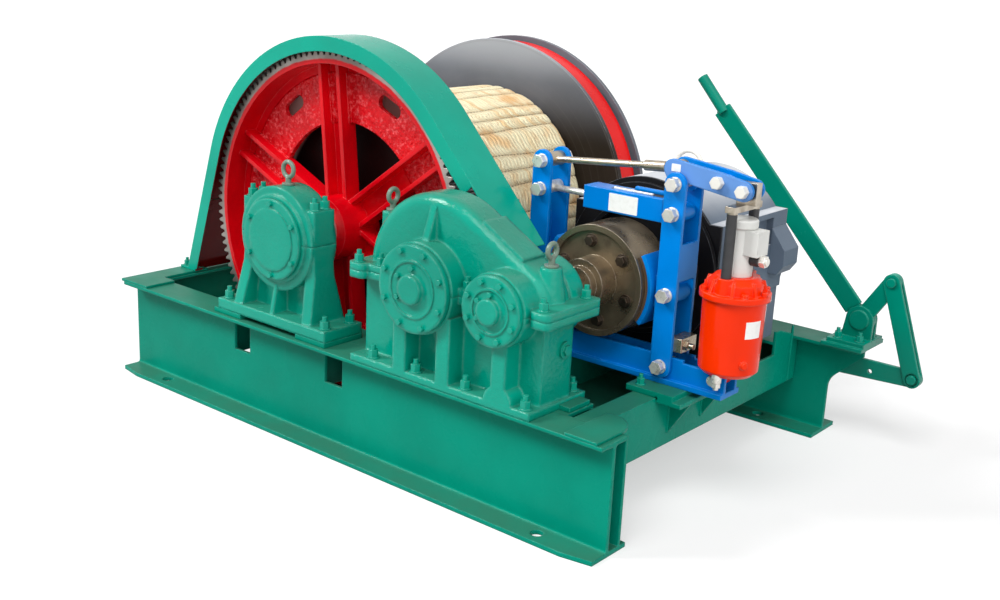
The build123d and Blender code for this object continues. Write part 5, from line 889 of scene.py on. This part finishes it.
def gland_rubber(paint):
    material, tree, shader = new_material("gland rubber")
    drift = tree.drift(40.0)
    tree.put(shader["Base Color"], tree.mix(drift, *shades(paint.black, (0.6, 1.1))))
    tree.put(shader["Roughness"], tree.span(drift, 0.0, 1.0, 0.45, 0.6))
    return material


def thruster_enamel(paint):
    return enamel("thruster enamel", paint.orange, THRUSTER_EDGE, rough=0.14, wear=0.006, grain=0.0005,
                  grain_scale=90.0, shine=0.14)


def motor_enamel(paint):
    """Motor: grey, with painted shade on its end towards the brake wheel and painted light on its level faces
    """
    def shaded_end(tree, tone):
        y = tree.parts(tree.place())["Y"]
        # Painted shade: near-black on the motor's end that faces the brake wheel
        end = tree.past(y, MOTOR_FRONT, MOTOR_PAINTED_SHADE_END)
        return tree.mix(end, tone, shade(paint.black, 0.6))
    # The pale grey on level faces is painted light on the motor's top
    return enamel("motor enamel", paint.grey, MOTOR_EDGE, MOTOR_LIT_TOP, rough=0.4, wear=0.004, grain=0.0005,
                  grain_scale=300.0, dust_and_lit_top_amount=0.9, patch=shaded_end)


def white_enamel(paint):
    return enamel("white enamel", paint.white, WHITE_EDGE, rough=0.3, wear=0.003, grain=0.0003)


def band_enamel(paint):
    return enamel("band enamel", paint.band_red, BAND_EDGE, rough=0.24, wear=0.003, grain=0.0003, shine=0.2)


def rod_finish(paint):
    """Black sleeves with a steel crosshead over them"""
    material, tree, shader = new_material("thruster rods")
    head = tree.past(tree.parts(tree.place())["Z"], RODS_TOP, CROSSHEAD_FOOT)
    drift = tree.drift(20.0)
    sleeve = tree.mix(drift, *shades(paint.black, (0.8, 1.3)))
    tree.put(shader["Base Color"], tree.mix(head, sleeve, tree.mix(drift, *CROSSHEAD_STEEL)))
    tree.put(shader["Metallic"], head)
    tree.put(shader["Roughness"], tree.span(head, 0.0, 1.0, 0.5, 0.3))
    tree.put(shader["Normal"], tree.effect("Edge Wear", Radius=0.002)["Normal"])
    return material


def lining_finish():
    """Brake band's lining: mottled brown"""
    material, tree, shader = new_material("band lining")
    drift = tree.noise(tree.place(), scale=60.0, detail=5.0)
    tree.put(shader["Base Color"], tree.mix(drift, *BAND_LINING))
    tree.put(shader["Roughness"], tree.span(drift, 0.0, 1.0, 0.7, 0.9))
    return material


def dress(material, *names):
    """Put a material on CAD nodes"""
    for name in names:
        data = NODES[name].data
        data.materials.clear()
        data.materials.append(material)


# Modelling helpers

def finished(mesh, name, body, material, smooth=False):
    """Object from a bmesh, riding on a body"""
    bmesh.ops.recalc_face_normals(mesh, faces=mesh.faces)
    data = bpy.data.meshes.new(name)
    mesh.to_mesh(data)
    mesh.free()
    for face in data.polygons:
        face.use_smooth = smooth
    piece = bpy.data.objects.new(name, data)
    bpy.context.scene.collection.objects.link(piece)
    data.materials.append(material)
    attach(piece, body)
    return piece


def along(axis, centre):
    """Matrix that stands a shape's own Z along an axis at a centre"""
    lean = Vector((0, 0, 1)).rotation_difference(Vector(axis))
    return Matrix.Translation(centre) @ lean.to_matrix().to_4x4()


def rod(mesh, start, end, radius, segments):
    """Plain rod between two points, and its vertices"""
    start = Vector(start)
    run = Vector(end) - start
    made = bmesh.ops.create_cone(mesh, cap_ends=True, segments=segments, radius1=radius, radius2=radius,
                                 depth=run.length, matrix=along(run, start + run / 2))
    return made["verts"]


def round_edges(mesh, edges, offset, segments):
    bmesh.ops.bevel(mesh, geom=list(edges), offset=offset, affect="EDGES", segments=segments, profile=0.5,
                    material=-1)


def turned(mesh, start, end, radius, segments=32, chamfer=0.001):
    """Round bar, or a hexagonal one with 6 segments, between two points, with chamfered ends"""
    corners = rod(mesh, start, end, radius, segments)
    rims = {edge for vertex in corners for edge in vertex.link_edges
            if any(len(face.verts) == segments for face in edge.link_faces)}
    round_edges(mesh, rims, chamfer, segments=2)


def hexagon(mesh, start, end, flats):
    turned(mesh, start, end, flats / 3 ** 0.5, segments=6, chamfer=0.0008)


def bar(mesh, low, high, rounding, matrix=None):
    """Bar with rounded edges between two corners"""
    low = Vector(low)
    size = Vector(high) - low
    place = Matrix.Translation(low + size / 2) @ Matrix.Diagonal((*size, 1))
    made = bmesh.ops.create_cube(mesh, size=1.0, matrix=(matrix or Matrix()) @ place)
    edges = {edge for vertex in made["verts"] for edge in vertex.link_edges}
    round_edges(mesh, edges, rounding, segments=3)


def weld_bead(start, end, fittings):
    """Rippled bead along a seam"""
    start = Vector(start)
    run = Vector(end) - start
    heading = run.normalized()
    mesh = bmesh.new()
    rod(mesh, start, end, fittings.bead, BEAD_SIDES)
    sides = [edge for edge in mesh.edges if edge.calc_length() > run.length / 2]
    cuts = round(BEAD_RIPPLE_CUTS * run.length / fittings.ripple)
    bmesh.ops.subdivide_edges(mesh, edges=sides, cuts=cuts, use_grid_fill=True)
    for vertex in mesh.verts:
        travel = (vertex.co - start).dot(heading)
        middle = start + heading * travel
        ripple = BEAD_RIPPLE * sin(2 * pi * travel / fittings.ripple)
        lump = BEAD_LUMP * noise.noise(middle * BEAD_LUMP_SCALE)
        vertex.co = middle + (vertex.co - middle) * (BEAD_SWELL + ripple + lump)
    return mesh


def blank_plate(plate, seat, thickness):
    """Thin plate with round corners that faces the front, on a seat"""
    mesh = bmesh.new()
    upright = Matrix.Translation((plate.x, seat - thickness, plate.z)) @ Matrix.Rotation(pi / 2, 4, "X")
    made = bmesh.ops.create_grid(mesh, x_segments=1, y_segments=1, size=0.5,
                                 matrix=upright @ Matrix.Diagonal((plate.width, plate.height, 1, 1)))
    bmesh.ops.bevel(mesh, geom=made["verts"], offset=2 * thickness, affect="VERTICES", segments=4,
                    profile=0.5, material=-1)
    back = bmesh.ops.extrude_face_region(mesh, geom=mesh.faces[:])["geom"]
    bmesh.ops.translate(mesh, verts=[part for part in back if isinstance(part, bmesh.types.BMVert)],
                        vec=(0, thickness, 0))
    return mesh


def wrapped_plate(axis, foot, top, start, sweep, thickness):
    """Thin plate bent round an upright axis, from two places of radius and height"""
    mesh = bmesh.new()
    ends = [mesh.verts.new((axis[0] + radius * cos(start), axis[1] + radius * sin(start), z))
            for radius, z in (foot, top)]
    edge = mesh.edges.new(ends)
    bmesh.ops.spin(mesh, geom=[*ends, edge], cent=(*axis, 0), axis=(0, 0, 1), angle=sweep, steps=10)
    bmesh.ops.recalc_face_normals(mesh, faces=mesh.faces)
    bmesh.ops.solidify(mesh, geom=mesh.faces[:], thickness=thickness)
    return mesh


def seam_place(offset, matting):
    """Place round the drum's axis counted in bands, straying a little along the drum"""
    turn = atan2(offset.z, offset.x)
    part = turn / (2 * pi) % 1
    across, up = SEAM_STRAY_ROUND * cos(turn), SEAM_STRAY_ROUND * sin(turn)
    stray = matting.wander * noise.noise(Vector((across, up, SEAM_STRAY_ALONG * offset.y)))
    uneven = matting.uneven * sin(2 * pi * matting.bands / BANDS_TO_A_WAVE * part)
    return part * matting.bands + stray + uneven


def mat_ring(axis, inner, outer, front, back):
    """Plain closed ring with rolled ends, finely cut, about the drum's axis"""
    mesh = bmesh.new()
    section = ((inner, front), (outer - MAT_ROLL, front), (outer, front + MAT_ROLL), (outer, back - MAT_ROLL),
               (outer - MAT_ROLL, back), (inner, back))
    corners = [mesh.verts.new((axis.x + radius, y, axis.z)) for radius, y in section]
    side, roll, face, far_roll, far_side = [mesh.edges.new(pair) for pair in zip(corners, corners[1:])]
    bmesh.ops.subdivide_edges(mesh, edges=[face], cuts=MAT_CUTS)
    bmesh.ops.subdivide_edges(mesh, edges=[side, roll, far_roll, far_side], cuts=MAT_EDGE_CUTS)
    bmesh.ops.spin(mesh, geom=mesh.verts[:] + mesh.edges[:], cent=axis, axis=(0, 1, 0), angle=2 * pi,
                   steps=MAT_STEPS, use_merge=True)
    return mesh


def plait_bands(mesh, axis, inner, outer, matting):
    """Press seams between the bands into a ring, with a lumpy surface"""
    for vertex in mesh.verts:
        offset = vertex.co - axis
        radius = hypot(offset.x, offset.z)
        crown = abs(sin(pi * seam_place(offset, matting))) ** MAT_CROWN
        lump = noise.noise(offset * MAT_LUMP_SCALE) * MAT_LUMP
        drop = max(0.0, matting.groove * (1 - crown) - lump)
        depth = max(0.0, min(1.0, (radius - inner) / (outer - inner)))
        shrink = 1 - depth * drop / radius
        vertex.co = (axis.x + offset.x * shrink, vertex.co.y, axis.z + offset.z * shrink)


def map_plait(mesh, axis, matting):
    """Map the ring by band across and by strand along, with the last band running on past the first"""
    plait = mesh.loops.layers.uv.new("plait")
    for face in mesh.faces:
        places = [seam_place(corner.vert.co - axis, matting) for corner in face.loops]
        furthest = max(places)
        for corner, place in zip(face.loops, places):
            lap = matting.bands if furthest - place > matting.bands / 2 else 0
            corner[plait].uv = (place + lap, corner.vert.co.y / matting.strand)


def lay_matting(matting):
    """Closed ring of plaited bands on the barrel"""
    low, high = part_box("straw_wrap")
    axis = Vector((DRUM_AXIS[0], 0, DRUM_AXIS[2]))
    outer = (high[2] - low[2]) / 2
    inner = outer - MAT_DEPTH
    mesh = mat_ring(axis, inner, outer, low[1], high[1])
    plait_bands(mesh, axis, inner, outer, matting)
    map_plait(mesh, axis, matting)
    return mesh


# Operators

class WINCH_OT_paint_bed(bpy.types.Operator):
    """Paint the welded bed, the guard, the pedestals, the gearbox and their bolts"""
    bl_idname = "winch.paint_bed"
    bl_label = "Paint the bed"

    def execute(self, context):
        paint = context.scene.winch_paint
        dress(green_plate(paint), "front_beam", "rear_beam", "left_cross_channel", "middle_cross_channel",
              "right_cross_channel", "bed_plate", "deck_plates", "brake_bracket")
        dress(guard_enamel(paint), "gear_guard")
        dress(green_casting(paint), "front_pedestal", "front_pedestal_cap", "rear_pedestal",
              "rear_pedestal_cap", "bearing_covers", "gearbox_base", "gearbox_cover", "gearbox_caps")
        dress(green_fixing(paint), "pedestal_bolts", "cover_bolts", "gearbox_bolts", "frame_bolts")
        return {"FINISHED"}


class WINCH_OT_finish_drum(bpy.types.Operator):
    """Finish the bull gear, the drum's barrel and flange, and the brake band"""
    bl_idname = "winch.finish_drum"
    bl_label = "Finish the drum"

    def execute(self, context):
        paint = context.scene.winch_paint
        dress(gear_casting(paint), "bull_gear")
        dress(barrel_paint(paint), "drum_barrel")
        dress(flange_steel(paint), "brake_flange")
        dress(band_enamel(paint), "brake_band")
        dress(lining_finish(), "band_lining")
        return {"FINISHED"}


class WINCH_OT_lay_matting(bpy.types.Operator):
    """Lay the plaited straw matting on the drum's barrel"""
    bl_idname = "winch.lay_matting"
    bl_label = "Lay the matting"

    def execute(self, context):
        straw = straw_plait(context.scene.winch_paint)
        mesh = lay_matting(context.scene.winch_matting)
        piece = finished(mesh, "straw_matting", "drum", straw, smooth=True)
        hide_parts("straw_wrap")
        return {"FINISHED"}


class WINCH_OT_finish_drive(bpy.types.Operator):
    """Finish the shafts, gears, bearings, lifting eyes, brake wheel, coupling and motor"""
    bl_idname = "winch.finish_drive"
    bl_label = "Finish the drive"

    def execute(self, context):
        paint = context.scene.winch_paint
        dress(bright_steel(paint), "bearings", "drum_shaft", "output_shaft", "large_gear", "open_pinion",
              "motor_rotor")
        dress(eye_steel(paint), "lifting_eyes")
        dress(wheel_steel(paint), "brake_wheel", "input_shaft")
        dress(coupling_steel(), "coupling_half")
        dress(motor_enamel(paint), "motor_housing", "motor_end_shields", "motor_terminal_box")
        return {"FINISHED"}


class WINCH_OT_finish_shoe_brake(bpy.types.Operator):
    """Finish the shoe brake and its thruster"""
    bl_idname = "winch.finish_shoe_brake"
    bl_label = "Finish the shoe brake"

    def execute(self, context):
        paint = context.scene.winch_paint
        dress(blue_enamel(paint), "brake_base", "left_brake_arm", "right_brake_arm", "spring_box")
        dress(release_lever_finish(paint), "brake_lever")
        dress(shoe_paint(paint), "left_brake_shoe", "right_brake_shoe")
        dress(plated_steel(paint), "left_arm_pins", "right_arm_pins", "brake_pins")
        dress(rod_steel(), "tie_rod")
        dress(thruster_enamel(paint), "thruster_body")
        dress(white_enamel(paint), "thruster_motor")
        dress(rod_finish(paint), "thruster_rods")
        return {"FINISHED"}


class WINCH_OT_finish_hand_brake(bpy.types.Operator):
    """Paint the hand lever, its linkage and bracket"""
    bl_idname = "winch.finish_hand_brake"
    bl_label = "Finish the hand brake"

    def execute(self, context):
        paint = context.scene.winch_paint
        dress(lever_enamel(paint), "hand_lever", "lever_link", "lower_arm", "brake_shaft", "lever_bracket",
              "band_mounts")
        return {"FINISHED"}


class WINCH_OT_fix_plates(bpy.types.Operator):
    """Fix the blank plates on the spring box, the release lever and the thruster"""
    bl_idname = "winch.fix_plates"
    bl_label = "Fix the blank plates"

    def execute(self, context):
        thickness = context.scene.winch_fittings.plate
        white = plate_white()
        mesh = blank_plate(SPRING_BOX_PLATE, SPRING_BOX_FRONT, thickness)
        finished(mesh, "spring_box_plate", "right_arm", white)
        mesh = blank_plate(RELEASE_LEVER_PLATE, RELEASE_LEVER_PLATE_SEAT, thickness)
        finished(mesh, "release_lever_plate", "release_lever", white)
        mesh = wrapped_plate(THRUSTER_AXIS, THRUSTER_PLATE_FOOT, THRUSTER_PLATE_TOP, THRUSTER_PLATE_START,
                             THRUSTER_PLATE_SWEEP, thickness)
        finished(mesh, "thruster_plate", "frame", white)
        return {"FINISHED"}


class WINCH_OT_fit_thruster(bpy.types.Operator):
    """Fit the thruster's flange bolts, drain plug, hose nipple and cable gland"""
    bl_idname = "winch.fit_thruster"
    bl_label = "Fit the thruster"

    def execute(self, context):
        mesh = bmesh.new()
        self.bolts(mesh, context.scene.winch_fittings.flats)
        self.drain_plug(mesh)
        orange = bpy.data.materials["thruster enamel"]
        finished(mesh, "thruster_bolts", "frame", orange)
        mesh = bmesh.new()
        self.nipple(mesh)
        self.gland_nut(mesh)
        finished(mesh, "thruster_unions", "frame", bpy.data.materials["plated steel"])
        mesh = bmesh.new()
        turned(mesh, (GLAND_START, *GLAND_PLACE), (GLAND_END, *GLAND_PLACE), GLAND_RADIUS, chamfer=0.003)
        rubber = gland_rubber(context.scene.winch_paint)
        finished(mesh, "thruster_gland", "frame", rubber)
        return {"FINISHED"}

    def bolts(self, mesh, flats):
        x, y = THRUSTER_AXIS
        for degrees in THRUSTER_BOLT_TURNS:
            turn = radians(degrees)
            place = (x + THRUSTER_BOLT_CIRCLE * cos(turn), y + THRUSTER_BOLT_CIRCLE * sin(turn))
            turned(mesh, (*place, THRUSTER_FLANGE_TOP), (*place, THRUSTER_WASHER_TOP), WASHER_SHARE * flats)
            hexagon(mesh, (*place, THRUSTER_WASHER_TOP), (*place, THRUSTER_BOLT_TOP), flats)

    def drain_plug(self, mesh):
        outward = Vector((cos(DRAIN_TURN), sin(DRAIN_TURN), 0))
        seat = Vector((*THRUSTER_AXIS, DRAIN_HEIGHT)) + DRAIN_SEAT * outward
        collar = seat + DRAIN_COLLAR * outward
        turned(mesh, seat, collar, DRAIN_COLLAR_RADIUS)
        hexagon(mesh, collar, seat + DRAIN_END * outward, DRAIN_FLATS)

    def nipple(self, mesh):
        top, nut_top, nut_foot, foot = (
            (*NIPPLE_PLACE, height) for height in (NIPPLE_TOP, NIPPLE_NUT_TOP, NIPPLE_NUT_FOOT, NIPPLE_FOOT))
        turned(mesh, top, nut_top, NIPPLE_RADIUS)
        hexagon(mesh, nut_top, nut_foot, NIPPLE_NUT_FLATS)
        turned(mesh, nut_foot, foot, NIPPLE_TIP_RADIUS)

    def gland_nut(self, mesh):
        start, end, tip = ((x, *GLAND_PLACE) for x in (GLAND_NUT_START, GLAND_NUT_END, GLAND_TIP_END))
        hexagon(mesh, start, end, GLAND_NUT_FLATS)
        turned(mesh, end, tip, GLAND_TIP_RADIUS)


class WINCH_OT_fit_stop(bpy.types.Operator):
    """Fit the stop block and its screw between the right arm's plates"""
    bl_idname = "winch.fit_stop"
    bl_label = "Fit the arm stop"

    def execute(self, context):
        mesh = bmesh.new()
        bar(mesh, STOP_LOW, STOP_HIGH, STOP_ROUNDING)
        face, nut, end = ((x, *STOP_SCREW_PLACE) for x in (STOP_HIGH[0], STOP_NUT_END, STOP_SCREW_END))
        hexagon(mesh, face, nut, STOP_NUT_FLATS)
        turned(mesh, nut, end, STOP_SCREW_RADIUS, chamfer=0.002)
        finished(mesh, "arm_stop", "right_arm", bpy.data.materials["rod steel"])
        return {"FINISHED"}


class WINCH_OT_widen_lever(bpy.types.Operator):
    """Sheathe the hand lever's bar in a wide flat bar"""
    bl_idname = "winch.widen_lever"
    bl_label = "Sheathe the hand lever"

    def execute(self, context):
        half = context.scene.winch_fittings.lever_bar / 2
        lean = Matrix.Rotation(-atan2(LEVER_BAR_RUN.z, LEVER_BAR_RUN.x), 4, "Y")
        mesh = bmesh.new()
        bar(mesh, (SHEATH_START, -SHEATH_HALF, -half), (SHEATH_END, SHEATH_HALF, half), SHEATH_ROUNDING,
            Matrix.Translation(LEVER_AXIS) @ lean)
        finished(mesh, "lever_bar", "lever", bpy.data.materials["lever enamel"])
        return {"FINISHED"}


class WINCH_OT_fit_skirt(bpy.types.Operator):
    """Fit the skirt inside the guard's left leg, down to the deck"""
    bl_idname = "winch.fit_skirt"
    bl_label = "Fit the guard's skirt"

    def execute(self, context):
        x = DRUM_AXIS[0] + SKIRT_RADIUS * cos(SKIRT_TURN)
        z = DRUM_AXIS[2] + SKIRT_RADIUS * sin(SKIRT_TURN)
        end = (z - DECK - SKIRT_HALF) / -cos(SKIRT_TURN)
        leg = Matrix.Translation((x, 0, z)) @ Matrix.Rotation(1.5 * pi - SKIRT_TURN, 4, "Y")
        mesh = bmesh.new()
        bar(mesh, (SKIRT_START, SKIRT_FRONT, -SKIRT_HALF), (end, SKIRT_BACK, SKIRT_HALF), SKIRT_ROUNDING, leg)
        finished(mesh, "guard_skirt", "frame", bpy.data.materials["guard enamel"])
        return {"FINISHED"}


class WINCH_OT_open_spring_box(bpy.types.Operator):
    """Lay the slot, the bright clip and the hump on the spring box's top"""
    bl_idname = "winch.open_spring_box"
    bl_label = "Open the spring box"

    def execute(self, context):
        for trim in SPRING_BOX_TRIMS:
            mesh = bmesh.new()
            bar(mesh, (*trim.start, SPRING_BOX_TOP - TRIM_SUNK), (*trim.end, SPRING_BOX_TOP + trim.rise),
                trim.rounding)
            finished(mesh, trim.piece, "right_arm", bpy.data.materials[trim.finish])
        return {"FINISHED"}


class WINCH_OT_lay_welds(bpy.types.Operator):
    """Lay the weld beads along the bed's seams"""
    bl_idname = "winch.lay_welds"
    bl_label = "Lay the welds"

    def execute(self, context):
        fittings = context.scene.winch_fittings
        green = bpy.data.materials["green plate"]
        for number, (start, end) in enumerate(WELD_SEAMS, 1):
            mesh = weld_bead(start, end, fittings)
            finished(mesh, f"bed_weld_{number}", "frame", green, smooth=True)
        return {"FINISHED"}


class WINCH_OT_set_stage(bpy.types.Operator):
    """Lay a pale floor, light the winch softly and place the camera"""
    bl_idname = "winch.set_stage"
    bl_label = "Set the stage"

    def execute(self, context):
        scene = context.scene
        self.lay_floor(scene)
        self.hang_lamps(scene)
        self.light_world(scene)
        self.place_camera(scene)
        scene.view_settings.view_transform = "Standard"
        return {"FINISHED"}

    def lay_floor(self, scene):
        stage = scene.winch_stage
        mesh = bmesh.new()
        bmesh.ops.create_grid(mesh, x_segments=1, y_segments=1, size=FLOOR_REACH)
        data = bpy.data.meshes.new("floor")
        mesh.to_mesh(data)
        mesh.free()
        floor = bpy.data.objects.new("floor", data)
        floor.location.z = -FLOOR_DROP
        scene.collection.objects.link(floor)
        material, tree, shader = new_material("pale floor")
        shader["Base Color"].default_value = (stage.floor, stage.floor, stage.floor, 1)
        shader["Roughness"].default_value = FLOOR_ROUGHNESS
        shader["Specular IOR Level"].default_value = FLOOR_SHINE
        shader["Emission Color"].default_value = (1, 1, 1, 1)
        tree.put(shader["Emission Strength"], tree.times(tree.seen(), stage.glow))
        data.materials.append(material)

    def hang_lamps(self, scene):
        for name, lamp in LAMPS.items():
            data = bpy.data.lights.new(name, "SUN")
            data.energy = getattr(scene.winch_stage, name)
            data.angle = radians(lamp.width)
            hung = bpy.data.objects.new(name, data)
            hung.rotation_euler = (radians(lamp.tilt), 0, radians(lamp.turn))
            scene.collection.objects.link(hung)

    def light_world(self, scene):
        world = bpy.data.worlds.new("studio")
        world.use_nodes = True
        scene.world = world
        tree = Tree(world.node_tree)
        background = world.node_tree.nodes["Background"].inputs
        background["Color"].default_value = (1, 1, 1, 1)
        tree.put(background["Strength"], tree.span(tree.seen(), 0.0, 1.0, start=scene.winch_stage.sky))

    def place_camera(self, scene):
        stage = scene.winch_stage
        data = bpy.data.cameras.new("photo")
        data.lens = stage.lens
        data.sensor_width = SENSOR_WIDTH
        data.sensor_fit = "HORIZONTAL"
        data.shift_x, data.shift_y = stage.shift
        data.clip_end = VIEW_END
        camera = bpy.data.objects.new("photo", data)
        aim = Matrix.Rotation(stage.azimuth, 4, "Z") @ Matrix.Rotation(pi / 2 - stage.elevation, 4, "X")
        camera.matrix_world = Matrix.Translation(stage.place) @ aim @ Matrix.Rotation(stage.roll, 4, "Z")
        scene.collection.objects.link(camera)
        scene.camera = camera


class WINCH_PT_panel(bpy.types.Panel):
    """Lists the winch's operators"""
    bl_idname = "WINCH_PT_panel"
    bl_label = "Winch"
    bl_space_type = "VIEW_3D"
    bl_region_type = "UI"
    bl_category = "Winch"

    def draw(self, context):
        for operator in OPERATORS:
            self.layout.operator(operator.bl_idname)


OPERATORS = (WINCH_OT_paint_bed, WINCH_OT_finish_drum, WINCH_OT_lay_matting, WINCH_OT_finish_drive,
             WINCH_OT_finish_shoe_brake, WINCH_OT_finish_hand_brake, WINCH_OT_fix_plates,
             WINCH_OT_fit_thruster, WINCH_OT_fit_stop, WINCH_OT_widen_lever, WINCH_OT_fit_skirt,
             WINCH_OT_open_spring_box, WINCH_OT_lay_welds, WINCH_OT_set_stage)
SETTINGS = (WinchPaint, WinchMatting, WinchFittings, WinchStage)
CLASSES = (*SETTINGS, *OPERATORS, WINCH_PT_panel)


def register():
    for kind in CLASSES:
        bpy.utils.register_class(kind)
    bpy.types.Scene.winch_paint = bpy.props.PointerProperty(type=WinchPaint)
    bpy.types.Scene.winch_matting = bpy.props.PointerProperty(type=WinchMatting)
    bpy.types.Scene.winch_fittings = bpy.props.PointerProperty(type=WinchFittings)
    bpy.types.Scene.winch_stage = bpy.props.PointerProperty(type=WinchStage)


def unregister():
    del bpy.types.Scene.winch_stage
    del bpy.types.Scene.winch_fittings
    del bpy.types.Scene.winch_matting
    del bpy.types.Scene.winch_paint
    for kind in reversed(CLASSES):
        bpy.utils.unregister_class(kind)


def main():
    register()
    bpy.ops.winch.paint_bed()
    bpy.ops.winch.finish_drum()
    bpy.ops.winch.lay_matting()
    bpy.ops.winch.finish_drive()
    bpy.ops.winch.finish_shoe_brake()
    bpy.ops.winch.finish_hand_brake()
    bpy.ops.winch.fix_plates()
    bpy.ops.winch.fit_thruster()
    bpy.ops.winch.fit_stop()
    bpy.ops.winch.widen_lever()
    bpy.ops.winch.fit_skirt()
    bpy.ops.winch.open_spring_box()
    bpy.ops.winch.lay_welds()
    bpy.ops.winch.set_stage()


if __name__ == "__main__":
    main()
